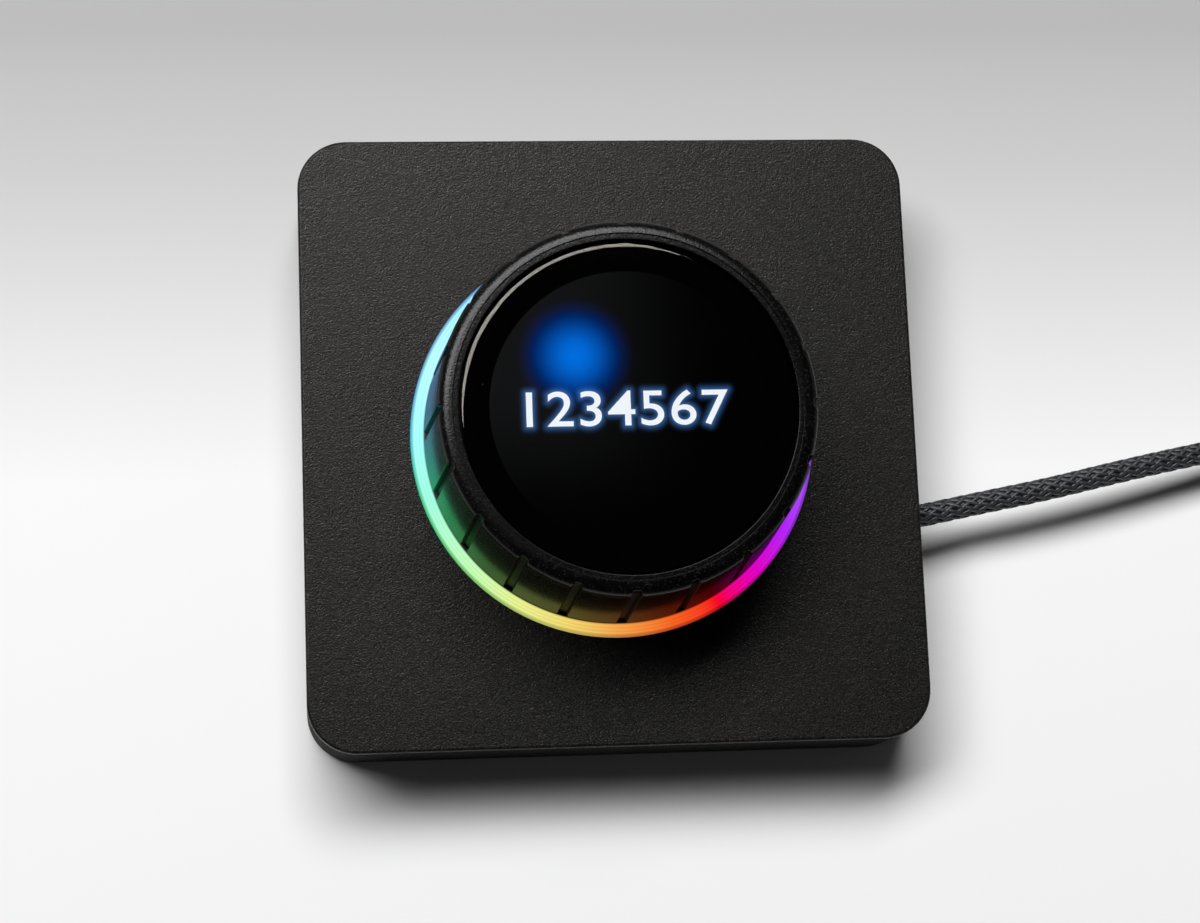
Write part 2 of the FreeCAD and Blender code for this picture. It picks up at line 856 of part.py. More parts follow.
def stator_windings():
    low = core_z - winding_end
    high = core_z + core_height + winding_end
    inner = housing_tube_radius + core_ring_thick + winding_gap + fit_gap
    outer = core_outer_radius - tooth_tip_thick - winding_gap
    length = outer - inner
    middle = (inner + outer) / 2
    coil = rounded_block(length, winding_width, winding_corner_radius, low, high)
    coil.translate(Vector(middle, 0, 0))
    tooth = block(length + overshoot, tooth_width + 2 * winding_gap, core_z - winding_gap,
                  core_z + core_height + winding_gap, middle)
    return group(around(coil.cut(tooth), tooth_count))


def bearing_torus(z):
    return Part.makeTorus(ball_circle_radius, ball_radius + ball_groove_gap, Vector(0, 0, z))


def bearing_places():
    return [lower_bearing_z, upper_bearing_z]


def bearing_outer_races():
    races = []
    for low in bearing_places():
        race = tube(bearing_outer_radius, bearing_outer_radius - bearing_race_thick, low,
                    low + bearing_width)
        races.append(race.cut(bearing_torus(low + bearing_width / 2)))
    return group(races)


def bearing_inner_races():
    races = []
    for low in bearing_places():
        race = tube(bearing_bore_radius + bearing_race_thick, bearing_bore_radius + fit_gap, low,
                    low + bearing_width)
        races.append(race.cut(bearing_torus(low + bearing_width / 2)))
    return group(races)


def bearing_balls():
    balls = []
    for low in bearing_places():
        ball = Part.makeSphere(ball_radius, Vector(ball_circle_radius, 0, low + bearing_width / 2))
        balls += around(ball, ball_count)
    return group(balls)


def ball_cages():
    cages = []
    for low in bearing_places():
        middle = low + bearing_width / 2
        cage = tube(ball_circle_radius + cage_thick / 2, ball_circle_radius - cage_thick / 2,
                    middle - cage_height / 2, middle + cage_height / 2)
        pocket = Part.makeCylinder(ball_radius + cage_pocket_gap, 4 * cage_thick,
                                   Vector(ball_circle_radius - 2 * cage_thick, 0, middle), Vector(1, 0, 0))
        cages.append(cut_all(cage, around(pocket, ball_count)))
    return group(cages)


def encoder_board():
    board = tube(encoder_board_radius, post_shoulder_radius + hole_gap, press_top_z,
                 press_top_z + encoder_board_thick)
    return board


def encoder_chip():
    low = press_top_z + encoder_board_thick
    chip = block(encoder_chip_side, encoder_chip_side, low, low + encoder_chip_height,
                 encoder_chip_radius)
    return turned(chip, encoder_chip_angle)


def display_post():
    shaft = cylinder(post_radius, press_under_z, flange_top_z)
    shoulder = cylinder(post_shoulder_radius, press_top_z, press_top_z + post_shoulder_height)
    flange = cylinder(post_flange_radius, flange_under_z, flange_top_z)
    body = fuse_all([shaft, shoulder, flange])
    cuts = [cylinder(post_radius - post_wall, press_under_z, flange_top_z)]
    cuts += around(cylinder(carrier_screw_radius + fit_gap, flange_under_z, flange_top_z,
                            carrier_screw_circle_radius), carrier_screw_count)
    return cut_all(body, cuts)


def display_carrier():
    disc = cylinder(carrier_radius, flange_top_z, carrier_top_z)
    rim = tube(carrier_radius, carrier_radius - carrier_rim_thick, carrier_top_z, display_top_z)
    body = fuse_all([disc, rim])
    cuts = [cylinder(post_radius - post_wall, flange_top_z, carrier_top_z)]
    cuts += around(cylinder(carrier_screw_radius + hole_gap / 2, flange_top_z, carrier_top_z,
                            carrier_screw_circle_radius), carrier_screw_count)
    cuts += around(cylinder(carrier_screw_head_radius + hole_gap / 2,
                            carrier_top_z - carrier_screw_head_height, carrier_top_z,
                            carrier_screw_circle_radius), carrier_screw_count)
    return cut_all(body, cuts)


def carrier_screws():
    one = screw(carrier_screw_head_radius, carrier_screw_head_height, carrier_screw_radius,
                flange_top_z - flange_under_z + carrier_thick - carrier_screw_head_height)
    z = carrier_top_z - carrier_screw_head_height
    return group(around(placed(one, carrier_screw_circle_radius, 0, z), carrier_screw_count))


def display_module():
    return cylinder(display_radius, carrier_top_z, display_top_z)


def cover_glass():
    glass = cylinder(glass_radius, display_top_z, glass_top_z)
    rim = [e for e in glass.Edges if min(v.Z for v in e.Vertexes) > glass_top_z - tiny]
    return glass.makeChamfer(glass_chamfer, rim)


def display_flex():
    return block(flex_width, flex_thick, flex_low_z(), carrier_top_z)


def motor_flex():
    return block(flex_thick, flex_width, flex_low_z(), press_top_z, motor_flex_radius)


# Turning pieces

def rotor_bell():
    shoulder_radius = bearing_bore_radius + bearing_race_thick
    shaft_bottom_z = lower_bearing_z - shaft_end_length
    bell_bottom_z = housing_floor_top_z + bell_bottom_gap
    profile = [
        (shaft_inner_radius, shaft_bottom_z),
        (bearing_bore_radius, shaft_bottom_z),
        (bearing_bore_radius, lower_bearing_z - clip_thick),
        (bearing_bore_radius - clip_groove_depth, lower_bearing_z - clip_thick),
        (bearing_bore_radius - clip_groove_depth, lower_bearing_z),
        (bearing_bore_radius, lower_bearing_z),
        (bearing_bore_radius, housing_top_z),
        (shoulder_radius, housing_top_z),
        (shoulder_radius, bell_under_z),
        (bell_inner_radius, bell_under_z),
        (bell_inner_radius, bell_bottom_z),
        (bell_outer_radius, bell_bottom_z),
        (bell_outer_radius, bell_top_z),
        (shaft_inner_radius, bell_top_z),
    ]
    body = revolve(profile)
    holes = around(cylinder(knob_screw_radius + fit_gap, bell_under_z, bell_top_z,
                            knob_screw_circle_radius), knob_screw_count, knob_screw_start_angle)
    return cut_all(body, holes)


def rotor_magnets():
    middle = core_z + core_height / 2
    low = middle - magnet_height / 2
    ring = tube(magnet_inner_radius + magnet_thick, magnet_inner_radius, low, low + magnet_height)
    pitch = 360.0 / magnet_count
    reach = 2 * bell_outer_radius
    edge = math.radians((pitch - magnet_space_angle) / 2)
    wedge = Part.makePolygon([
        Vector(0, 0, low),
        Vector(reach * math.cos(edge), -reach * math.sin(edge), low),
        Vector(reach * math.cos(edge), reach * math.sin(edge), low),
        Vector(0, 0, low),
    ])
    one = ring.common(Part.Face(wedge).extrude(Vector(0, 0, magnet_height)))
    return group(around(one, magnet_count))


def bearing_spacer():
    low = lower_bearing_z + bearing_width
    return tube(bearing_bore_radius + spacer_wall, bearing_bore_radius + fit_gap, low,
                low + spacer_length)


def retaining_clip():
    inner = bearing_bore_radius - clip_groove_depth + fit_gap
    clip = tube(inner + clip_width, inner, lower_bearing_z - clip_thick, lower_bearing_z)
    mouth = block(inner + 2 * clip_width, clip_mouth, lower_bearing_z - clip_thick, lower_bearing_z,
                  inner + clip_width)
    return clip.cut(mouth)


def encoder_magnet():
    low = lower_bearing_z - shaft_end_length
    high = lower_bearing_z - clip_thick
    return tube(bearing_bore_radius + encoder_magnet_thick, bearing_bore_radius + fit_gap, low, high)


def knob_profile():
    web_under = bell_top_z
    return [
        Vector(knob_inner_radius, 0, knob_bottom_z),
        Vector(knob_bottom_radius - knob_bottom_chamfer, 0, knob_bottom_z),
        Vector(knob_bottom_radius, 0, knob_bottom_z + knob_bottom_chamfer),
        Vector(knob_wall_top_radius, 0, knob_top_z - knob_rim_round),
        Vector(knob_wall_top_radius - knob_rim_round, 0, knob_top_z),
        Vector(knob_rim_step_radius, 0, knob_top_z),
        Vector(knob_rim_step_radius, 0, knob_top_z - knob_rim_step_depth),
        Vector(knob_opening_radius + knob_opening_chamfer, 0, knob_top_z - knob_rim_step_depth),
        Vector(knob_opening_radius, 0, knob_top_z - knob_rim_step_depth - knob_opening_chamfer),
        Vector(knob_opening_radius, 0, knob_top_z - knob_opening_depth),
        Vector(knob_inner_radius, 0, knob_top_z - knob_opening_depth
               - knob_inner_radius + knob_opening_radius),
        Vector(knob_inner_radius, 0, web_under + web_thick),
        Vector(web_inner_radius, 0, web_under + web_thick),
        Vector(web_inner_radius, 0, web_under),
        Vector(knob_inner_radius, 0, web_under),
    ]


def knob_shell():
    points = knob_profile()
    rim_start = Vector(knob_wall_top_radius, 0, knob_top_z - knob_rim_round)
    edges = []
    for start, end in zip(points, points[1:] + points[:1]):
        if (start - rim_start).Length < tiny:
            turn = knob_rim_round * (1 - math.sqrt(0.5))
            middle = Vector(knob_wall_top_radius - turn, 0, knob_top_z - turn)
            edges.append(Part.Arc(start, middle, end).toShape())
        else:
            edges.append(Part.LineSegment(start, end).toShape())
    body = Part.Face(Part.Wire(edges)).revolve(Vector(), Vector(0, 0, 1), 360)
    cuts = around(grip_slot(), grip_count)
    seat = placed(screw_seat(), knob_screw_circle_radius, 0, web_top_z)
    cuts += around(seat, knob_screw_count, knob_screw_start_angle)
    return cut_all(body, cuts)


def grip_slot():
    """Leaning block with sloped sides, so that it leaves a flat-floored groove of even depth down the wall."""
    wall_height = knob_top_z - knob_rim_round - knob_bottom_z - knob_bottom_chamfer
    lean = (knob_bottom_radius - knob_wall_top_radius) / wall_height
    low = knob_bottom_z - overshoot
    height = knob_top_z + overshoot - low
    floor = knob_bottom_radius - grip_depth + lean * (knob_bottom_chamfer + overshoot)
    reach = grip_depth + overshoot
    half_floor = grip_floor_width / 2
    half_mouth = half_floor + reach * (grip_width - grip_floor_width) / (2 * grip_depth)
    corners = [
        Vector(floor, -half_floor, low),
        Vector(floor + reach, -half_mouth, low),
        Vector(floor + reach, half_mouth, low),
        Vector(floor, half_floor, low),
    ]
    return Part.Face(Part.makePolygon(corners + corners[:1])).extrude(Vector(-lean * height, 0, height))


def screw_seat():
    sink = Part.makeCone(knob_screw_radius + fit_gap, knob_screw_head_radius + fit_gap,
                         knob_screw_head_height, Vector(0, 0, -knob_screw_head_height))
    hole = cylinder(knob_screw_radius + fit_gap, -web_thick, -knob_screw_head_height)
    return sink.fuse(hole)


def knob_screws():
    one = screw(knob_screw_head_radius, knob_screw_head_height, knob_screw_radius,
                knob_screw_length - knob_screw_head_height, True)
    low = placed(one, knob_screw_circle_radius, 0, web_top_z - knob_screw_head_height)
    return group(around(low, knob_screw_count, knob_screw_start_angle))


# Cable inside the base

def cable_gland():
    wall = Part.makeBox(wall_thick, base_side, base_height,
                        Vector(inner_half, -base_side / 2, underside_z))
    plug = along_cable(cable_bore(gland_radius)).common(wall)
    flange = Part.makeCylinder(gland_flange_radius, gland_flange_thick,
                               Vector(inner_half - gland_flange_thick, gland_y(), cable_exit.z),
                               Vector(1, 0, 0))
    bore = along_cable(Part.makeCylinder(cable_radius + gland_gap, 4 * wall_thick,
                                         Vector(-3 * wall_thick, 0, 0), Vector(1, 0, 0)))
    return fuse_all([plug, flange]).cut(bore)


def gland_y():
    back = cable_exit.x - inner_half
    return cable_exit.y - back * math.tan(math.radians(cable_angle))


def cable_inner():
    stub = Part.makeCylinder(cable_radius, inner_cable_length, Vector(-inner_cable_length, 0, 0),
                             Vector(1, 0, 0))
    return along_cable(stub)


def clamp_low_z():
    return cable_exit.z - cable_radius


def clamp_pedestal():
    shape = block(clamp_length, clamp_width, cover_top_z - cable_exit.z,
                  -cable_radius, -clamp_from_exit)
    return along_cable(shape)


def clamp_screw_places():
    places = []
    angle = math.radians(cable_angle)
    for side in (-clamp_screw_spread, clamp_screw_spread):
        x = cable_exit.x - clamp_from_exit * math.cos(angle) - side * math.sin(angle)
        y = cable_exit.y - clamp_from_exit * math.sin(angle) + side * math.cos(angle)
        places.append((x, y))
    return places


def cable_clamp():
    top = cable_radius + clamp_thick
    arch = block(clamp_length, cable_diameter + 2 * clamp_thick, -cable_radius, top, -clamp_from_exit)
    ears = block(clamp_length, clamp_width, -cable_radius, -cable_radius + clamp_thick,
                 -clamp_from_exit)
    bore = Part.makeCylinder(cable_radius + fit_gap, 2 * clamp_length,
                             Vector(-clamp_from_exit - clamp_length, 0, 0), Vector(1, 0, 0))
    way = block(2 * clamp_length, cable_diameter + 2 * fit_gap, -cable_diameter, 0, -clamp_from_exit)
    body = fuse_all([arch, ears]).cut(bore).cut(way)
    body = along_cable(body)
    holes = [cylinder(board_screw_radius + fit_gap, 0, plate_z, x, y) for x, y in clamp_screw_places()]
    return cut_all(body, holes)


def clamp_screws():
    one = screw(clamp_length / 2, board_screw_head_height, board_screw_radius, board_screw_length)
    z = clamp_low_z() + clamp_thick
    return group([placed(one, x, y, z) for x, y in clamp_screw_places()])


def lead_plug():
    start = -inner_cable_length - lead_plug_length / 2
    low = board_top_z - cable_exit.z
    body = block(lead_plug_length, lead_plug_width, low, low + socket_height, start)
    return along_cable(body)


def lead_socket():
    start = -inner_cable_length - lead_plug_length - lead_socket_length / 2
    low = board_top_z - cable_exit.z
    body = block(lead_socket_length, lead_plug_width + socket_wall, low, low + socket_height, start)
    return along_cable(body)


# Free cable, coil and plug

def cable_run():
    wire, radii = rounded_route(whole_run)
    print("run radii", [round(r, 1) for r in radii], "length", round(wire.Length, 1))
    return swept_tube(wire, cable_radius), wire.Length


def coil_layers():
    """Turns of each layer, whether it runs inwards, and the half turns that climb between."""
    layers = []
    for i in range(coil_layer_count):
        turns = coil_last_layer_turns if i == coil_layer_count - 1 else coil_turns_per_layer
        layers.append((turns, i % 2 == 0))
    return layers


def coil_place(quarter):
    """Point and direction of the coil after a number of quarter turns."""
    left = quarter / 4.0
    radius = coil_outer_turn_radius
    height = coil_first_height
    radial = 0.0
    climb = 0.0
    for index, (turns, inwards) in enumerate(coil_layers()):
        step = -coil_pitch if inwards else coil_pitch
        spent = min(left, turns)
        radius += step * spent
        radial = step
        climb = 0.0
        left -= spent
        if left <= 0 or index == coil_layer_count - 1:
            break
        spent = min(left, coil_climb_turns)
        phase = math.pi * spent / coil_climb_turns
        radius += math.copysign(coil_bulge, step) * math.sin(phase)
        radial = step * math.cos(phase)
        height += coil_pitch * (1 - math.cos(phase)) / 2
        climb = coil_pitch * math.pi / coil_climb_turns * math.sin(phase) / 2
        left -= spent
        if left <= 0:
            break
    angle = math.radians(-90.0 + 90.0 * quarter)
    outward = Vector(math.cos(angle), math.sin(angle), 0)
    around_way = Vector(-math.sin(angle), math.cos(angle), 0)
    point = coil_centre + outward * radius + Vector(0, 0, height)
    if quarter == 0 or quarter == coil_quarters():
        radial = 0.0
    way = around_way * (2 * math.pi * radius) + outward * radial + Vector(0, 0, climb)
    return point, way.normalize()


def coil_quarters():
    turns = sum(t for t, inwards in coil_layers()) + coil_climb_turns * (coil_layer_count - 1)
    return int(round(4 * turns))


def cable_coil():
    steps = coil_quarters()
    wire = wound_wire(coil_place, steps)
    gap = least_gap(wire, cable_diameter, 4 * cable_diameter)
    print("coil turns", steps / 4, "length", round(wire.Length, 1), "least gap to itself", round(gap, 3))
    return swept_tube(wire, cable_radius), wire.Length


def cable_tail():
    wire, radii = rounded_route(tail_points)
    print("tail radii", [round(r, 1) for r in radii], "length", round(wire.Length, 1))
    return swept_tube(wire, cable_radius), wire.Length


def coil_inner_turn_radius():
    return coil_outer_turn_radius - coil_pitch * coil_turns_per_layer


def cable_ties():
    inner_turn = coil_inner_turn_radius() - coil_bulge - cable_radius
    inner = math.sqrt(inner_turn ** 2 - (tie_width / 2) ** 2) - tie_gap
    outer = coil_outer_turn_radius + coil_bulge + cable_radius + tie_gap
    low = coil_first_height - cable_radius - tie_gap
    high = coil_first_height + (coil_layer_count - 1) * coil_pitch + cable_radius + tie_gap
    middle = (inner + outer) / 2
    band = block(outer - inner + 2 * tie_thick, tie_width, low - tie_thick, high + tie_thick, middle)
    room = block(outer - inner, tie_width + overshoot, low, high, middle)
    one = band.cut(room)
    ties = []
    for angle in tie_angles:
        tie = turned(one, angle)
        tie.translate(coil_centre)
        ties.append(tie)
    return group(ties)


def at_tail_end(shape):
    """Move a piece drawn along +X from the origin to the end of the tail."""
    before = Vector(*tail_points[-2])
    end = Vector(*tail_points[-1])
    way = end - before
    copy = turned(shape, math.degrees(math.atan2(way.y, way.x)))
    copy.translate(end)
    return copy


def plug_body():
    body = Part.makeBox(plug_length, plug_width, plug_height,
                        Vector(0, -plug_width / 2, -plug_height / 2))
    long_edges = [e for e in body.Edges if abs(e.Vertexes[0].X - e.Vertexes[1].X) > plug_length / 2]
    body = body.makeFillet(plug_round, long_edges)
    mouth = plug_tongue_block(plug_shell_width, plug_shell_height, plug_length - plug_shell_seat,
                              plug_length + overshoot)
    return at_tail_end(body.cut(mouth))


def plug_tongue_block(width, height, low, high):
    shape = Part.makeBox(high - low, width, height, Vector(low, -width / 2, -height / 2))
    along = [e for e in shape.Edges if abs(e.Vertexes[0].X - e.Vertexes[1].X) > (high - low) / 2]
    return shape.makeFillet(plug_shell_round_share * height, along)


def plug_shell():
    low = plug_length - plug_shell_seat
    high = plug_length + plug_shell_length
    outer = plug_tongue_block(plug_shell_width, plug_shell_height, low, high)
    wall = 2 * plug_shell_wall
    inner = plug_tongue_block(plug_shell_width - wall, plug_shell_height - wall, low, high)
    return at_tail_end(outer.cut(inner))


def plug_liner():
    low = plug_length - plug_shell_seat
    high = plug_length + plug_shell_length - plug_shell_wall
    wall = 2 * plug_shell_wall
    outer = plug_tongue_block(plug_shell_width - wall, plug_shell_height - wall, low, high)
    inside = wall + 2 * plug_liner_wall
    room = plug_tongue_block(plug_shell_width - inside, plug_shell_height - inside,
                             low + plug_liner_floor, high)
    return at_tail_end(outer.cut(room))


def plug_contacts():
    inside = plug_shell_wall + plug_liner_wall
    low = plug_length - plug_shell_seat + plug_liner_floor
    high = plug_length + plug_shell_length / 2
    contacts = []
    for side in (-1, 1):
        face = side * (plug_shell_height / 2 - inside)
        z = min(face, face - side * plug_contact_thick)
        for i in range(plug_contact_count):
            y = (i - (plug_contact_count - 1) / 2.0) * plug_contact_pitch - plug_contact_width / 2
            contacts.append(Part.makeBox(high - low, plug_contact_width, plug_contact_thick,
                                         Vector(low, y, z)))
    return at_tail_end(group(contacts))


def main():
    os.makedirs("parts", exist_ok=True)
    makers = [
        base_shell, top_skin, bottom_cover, rubber_feet, cover_screws, ballast_plate,
        main_board, board_screws, chips, flex_sockets, led_lead, tact_switch, switch_plunger,
        guide_screws, return_springs, light_ring, led_board, leds, light_baffle,
        press_plate, motor_screws, stator_housing, stator_core, stator_windings,
        bearing_outer_races, bearing_inner_races, bearing_balls, ball_cages,
        encoder_board, encoder_chip, display_post, display_carrier, carrier_screws,
        display_module, cover_glass, display_flex, motor_flex,
        rotor_bell, rotor_magnets, bearing_spacer, retaining_clip, encoder_magnet,
        knob_shell, knob_screws,
        cable_gland, cable_inner, cable_clamp, clamp_screws, lead_plug, lead_socket,
        cable_ties, plug_body, plug_shell, plug_liner, plug_contacts,
    ]
    for maker in makers:
        save(maker.__name__, maker())
    total = 0.0
    for maker in (cable_run, cable_coil, cable_tail):
        shape, length = maker()
        total += length
        save(maker.__name__, shape)
    print("free cable length", round(total, 1))


main()
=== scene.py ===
import math
import bmesh
import bpy
from mathutils import Matrix, Vector
from mathutils.bvhtree import BVHTree


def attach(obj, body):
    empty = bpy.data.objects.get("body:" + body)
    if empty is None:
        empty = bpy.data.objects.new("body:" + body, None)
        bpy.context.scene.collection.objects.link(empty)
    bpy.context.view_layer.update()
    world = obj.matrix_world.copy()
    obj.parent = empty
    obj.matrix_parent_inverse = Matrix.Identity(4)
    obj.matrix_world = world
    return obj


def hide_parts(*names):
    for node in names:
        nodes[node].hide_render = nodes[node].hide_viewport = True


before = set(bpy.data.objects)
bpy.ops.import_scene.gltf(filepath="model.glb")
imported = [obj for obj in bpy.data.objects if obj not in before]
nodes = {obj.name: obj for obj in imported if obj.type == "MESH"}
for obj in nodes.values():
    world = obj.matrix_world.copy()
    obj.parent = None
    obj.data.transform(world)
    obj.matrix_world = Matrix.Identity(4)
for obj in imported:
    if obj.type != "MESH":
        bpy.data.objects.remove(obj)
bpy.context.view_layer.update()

mm = 0.001
print("frame loaded:", len(nodes), "nodes")


# the camera stands where the photograph was taken

cameraValues = {
    "place": (-0.036666, -0.061842, 0.328341),
    "right": (0.99389, -0.03828, 0.10356),
    "down": (-0.01848, -0.98241, -0.18579),
    "forward": (0.10885, 0.18274, -0.97712),
    "lens": 79.66,
    "sensor": 36.0,
    "clip": (0.01, 20),
}


def addObject(name, data):
    piece = bpy.data.objects.new(name, data)
    bpy.context.scene.collection.objects.link(piece)
    return piece


def makeCamera(v):
    data = bpy.data.cameras.new("camera")
    data.lens, data.sensor_width = v["lens"], v["sensor"]
    data.clip_start, data.clip_end = v["clip"]
    camera = addObject("camera", data)
    turn = Matrix((Vector(v["right"]), -Vector(v["down"]), -Vector(v["forward"])))
    camera.matrix_world = Matrix.Translation(v["place"]) @ turn.transposed().to_4x4()
    bpy.context.scene.camera = camera


makeCamera(cameraValues)


# small helpers for meshes

def meshPiece(name, vertices, faces):
    mesh = bpy.data.meshes.new(name)
    mesh.from_pydata([tuple(v) for v in vertices], [], faces)
    mesh.validate()
    return addObject(name, mesh)


def tidied(piece, sharpAngle=40.0, mergeAt=1e-7):
    # doubles merged, faces outwards, smooth with sharp edges past an angle
    work = bmesh.new()
    work.from_mesh(piece.data)
    bmesh.ops.remove_doubles(work, verts=work.verts, dist=mergeAt)
    bmesh.ops.recalc_face_normals(work, faces=work.faces)
    limit = math.radians(sharpAngle)
    for edge in work.edges:
        edge.smooth = len(edge.link_faces) == 2 and edge.calc_face_angle(0) < limit
    for face in work.faces:
        face.smooth = True
    work.to_mesh(piece.data)
    work.free()
    return piece


def tube(rows, size, closed=False):
    # faces that join rows of equal length, one to the next, with both ends filled or joined
    def quad(i, j, k):
        n = (k + 1) % size
        return (i * size + k, j * size + k, j * size + n, i * size + n)
    faces = [quad(i, (i + 1) % rows, k) for i in range(rows if closed else rows - 1) for k in range(size)]
    if not closed:
        faces += [tuple(range(size)), tuple((rows - 1) * size + k for k in reversed(range(size)))]
    return faces


def spun(name, outline, steps, filled=False):
    # (radius, height) points turned round the axis, with a pole where the radius is 0
    body = [(r, z) for r, z in outline if r]
    count, pole = len(body), len(body) * steps
    angles = [2 * math.pi * i / steps for i in range(steps)]
    vertices = [(r * math.cos(a) * mm, r * math.sin(a) * mm, z * mm) for a in angles for r, z in body]
    vertices += [(0, 0, z * mm) for r, z in (outline[0], outline[-1]) if not r]
    faces = []
    for i in range(steps):
        a, b = i * count, (i + 1) % steps * count
        faces += [(a + k, a + k + 1, b + k + 1, b + k) for k in range(count - 1)]
        faces.append((pole, a, b))
        if not outline[-1][0]:
            faces.append((pole + 1, b + count - 1, a + count - 1))
    if filled:
        faces.append(tuple((i + 1) * count - 1 for i in reversed(range(steps))))
    return meshPiece(name, vertices, faces)


def rounded(points, segments=5, share=0.49):
    # corners given as (x, y, radius) become short arcs that take at most this share of a side
    result = []
    count = len(points)
    for i, (x, y, radius) in enumerate(points):
        here = Vector((x, y))
        if radius <= 0:
            result.append((x, y))
            continue
        before = Vector(points[i - 1][:2]) - here
        after = Vector(points[(i + 1) % count][:2]) - here
        half = before.angle(after) / 2
        reach = min(radius / math.tan(half), share * before.length, share * after.length)
        inward = (before.normalized() + after.normalized()).normalized()
        centre = here + inward * (reach / math.cos(half))
        start = here + before.normalized() * reach - centre
        sweep = start.angle_signed(here + after.normalized() * reach - centre)
        for k in range(segments + 1):
            spoke = start.copy()
            spoke.rotate(Matrix.Rotation(-sweep * k / segments, 2))
            result.append(tuple(centre + spoke))
    return result


def roundedRectangle(halfWidth, halfHeight, radius, segments=6):
    signs = ((1, -1), (1, 1), (-1, 1), (-1, -1))
    return rounded([(halfWidth * x, halfHeight * y, radius) for x, y in signs], segments)


def curveThrough(name, points, closed=False, bent=False):
    curve = bpy.data.curves.new(name, "CURVE")
    curve.dimensions = "3D"
    spline = curve.splines.new("NURBS" if bent else "POLY")
    spline.points.add(len(points) - 1)
    for slot, point in zip(spline.points, points):
        slot.co = (*point, 1.0)
    spline.use_cyclic_u = closed
    if bent:
        spline.order_u, spline.use_endpoint_u, curve.resolution_u = 3, True, 12
    return addObject(name, curve)


def evaluated(source):
    # an object's mesh with its modifiers, as new data
    bpy.context.view_layer.update()
    depsgraph = bpy.context.evaluated_depsgraph_get()
    return bpy.data.meshes.new_from_object(source.evaluated_get(depsgraph), depsgraph=depsgraph)


def dropObject(piece):
    data, kind = piece.data, piece.type
    bpy.data.objects.remove(piece)
    (bpy.data.meshes if kind == "MESH" else bpy.data.curves).remove(data)


def dress(piece, material):
    piece.data.materials.clear()
    piece.data.materials.append(material)
    return piece


# small helpers for node trees

class Value:
    # a node's result that sums and products can be written with
    def __init__(self, tree, socket):
        self.tree, self.socket = tree, socket

    def beside(self, output):
        # another result of the same node
        return Value(self.tree, self.socket.node.outputs[output])

    def __add__(self, other):
        return reckon("ADD", self, other)

    def __sub__(self, other):
        return reckon("SUBTRACT", self, other)

    def __rsub__(self, other):
        return reckon("SUBTRACT", other, self)

    def __mul__(self, other):
        return reckon("MULTIPLY", self, other)

    def __truediv__(self, other):
        return reckon("DIVIDE", self, other)

    def __rtruediv__(self, other):
        return reckon("DIVIDE", other, self)


def feed(value, target):
    # a link from a node's result, or a plain value
    if isinstance(value, Value):
        value.tree.links.new(value.socket, target)
    else:
        target.default_value = value


def node(tree, kind, links=None, output=0, **settings):
    # a new node, and its result by the output's name or number
    made = tree.nodes.new(kind)
    for key, value in settings.items():
        setattr(made, key, value)
    for key, value in (links or {}).items():
        feed(value, made.inputs[key])
    return Value(tree, made.outputs[output])


def treeOf(*values):
    return next(v.tree for v in values if isinstance(v, Value))


def reckon(operation, *values):
    return node(treeOf(*values), "ShaderNodeMath", dict(enumerate(values)), operation=operation)


def combine(x=0.0, y=0.0, z=0.0):
    return node(treeOf(x, y, z), "ShaderNodeCombineXYZ", {0: x, 1: y, 2: z})


def separate(vector):
    tree = vector.tree
    made = tree.nodes.new("ShaderNodeSeparateXYZ")
    feed(vector, made.inputs[0])
    return [Value(tree, socket) for socket in made.outputs]


def vectorMath(operation, a, b=(0.0, 0.0, 0.0), output=0):
    return node(treeOf(a, b), "ShaderNodeVectorMath", {0: a, 1: b}, output, operation=operation)


def scaled(vector, factor):
    links = {0: vector, "Scale": factor}
    return node(treeOf(vector, factor), "ShaderNodeVectorMath", links, operation="SCALE")


def noise(vector, scale, detail=2.0, rough=0.5, output=0):
    return node(vector.tree, "ShaderNodeTexNoise", {"Vector": vector, "Scale": scale, "Detail": detail,
                "Roughness": rough}, output)


def cells(vector, scale=1.0):
    # the distance from each cell's middle, and a number of the cell's own
    away = node(vector.tree, "ShaderNodeTexVoronoi", {"Vector": vector, "Scale": scale}, "Distance")
    return away, separate(away.beside("Color"))[0]


def spread(value, low, high, newLow=0.0, newHigh=1.0, smooth=False):
    return node(value.tree, "ShaderNodeMapRange", {"Value": value, "From Min": low, "From Max": high,
                "To Min": newLow, "To Max": newHigh}, interpolation_type="SMOOTHSTEP" if smooth else "LINEAR")


def mixColours(factor, a, b, blend="MIX"):
    return node(treeOf(factor, a, b), "ShaderNodeMix", {0: factor, 6: a, 7: b}, 2,
                data_type="RGBA", blend_type=blend)


def toned(colour, gain):
    return mixColours(1.0, colour, combine(gain, gain, gain), "MULTIPLY")


def lengthOf(x, y):
    return vectorMath("LENGTH", combine(x, y, 0.0), output="Value")


def newTree(kind, name, inputs, outputs):
    # inputs by label: a default, or the kind of a socket that has none
    tree = bpy.data.node_groups.new(name, kind)
    kinds = {float: "Float", int: "Int", tuple: "Color"}
    for label, value in inputs.items():
        bare = isinstance(value, str)
        socket = tree.interface.new_socket(label, in_out="INPUT", socket_type="NodeSocket" + (
            value if bare else kinds[type(value)]))
        if not bare:
            socket.default_value = value
    for label, value in outputs.items():
        tree.interface.new_socket(label, in_out="OUTPUT", socket_type="NodeSocket" + value)
    given = {s.name: Value(tree, s) for s in tree.nodes.new("NodeGroupInput").outputs if s.name}
    return tree, given, tree.nodes.new("NodeGroupOutput").inputs


def newShape(name, inputs):
    inputs = {"Geometry": "Geometry", **inputs, "Material": "Material"}
    return newTree("GeometryNodeTree", name, inputs, {"Geometry": "Geometry"})


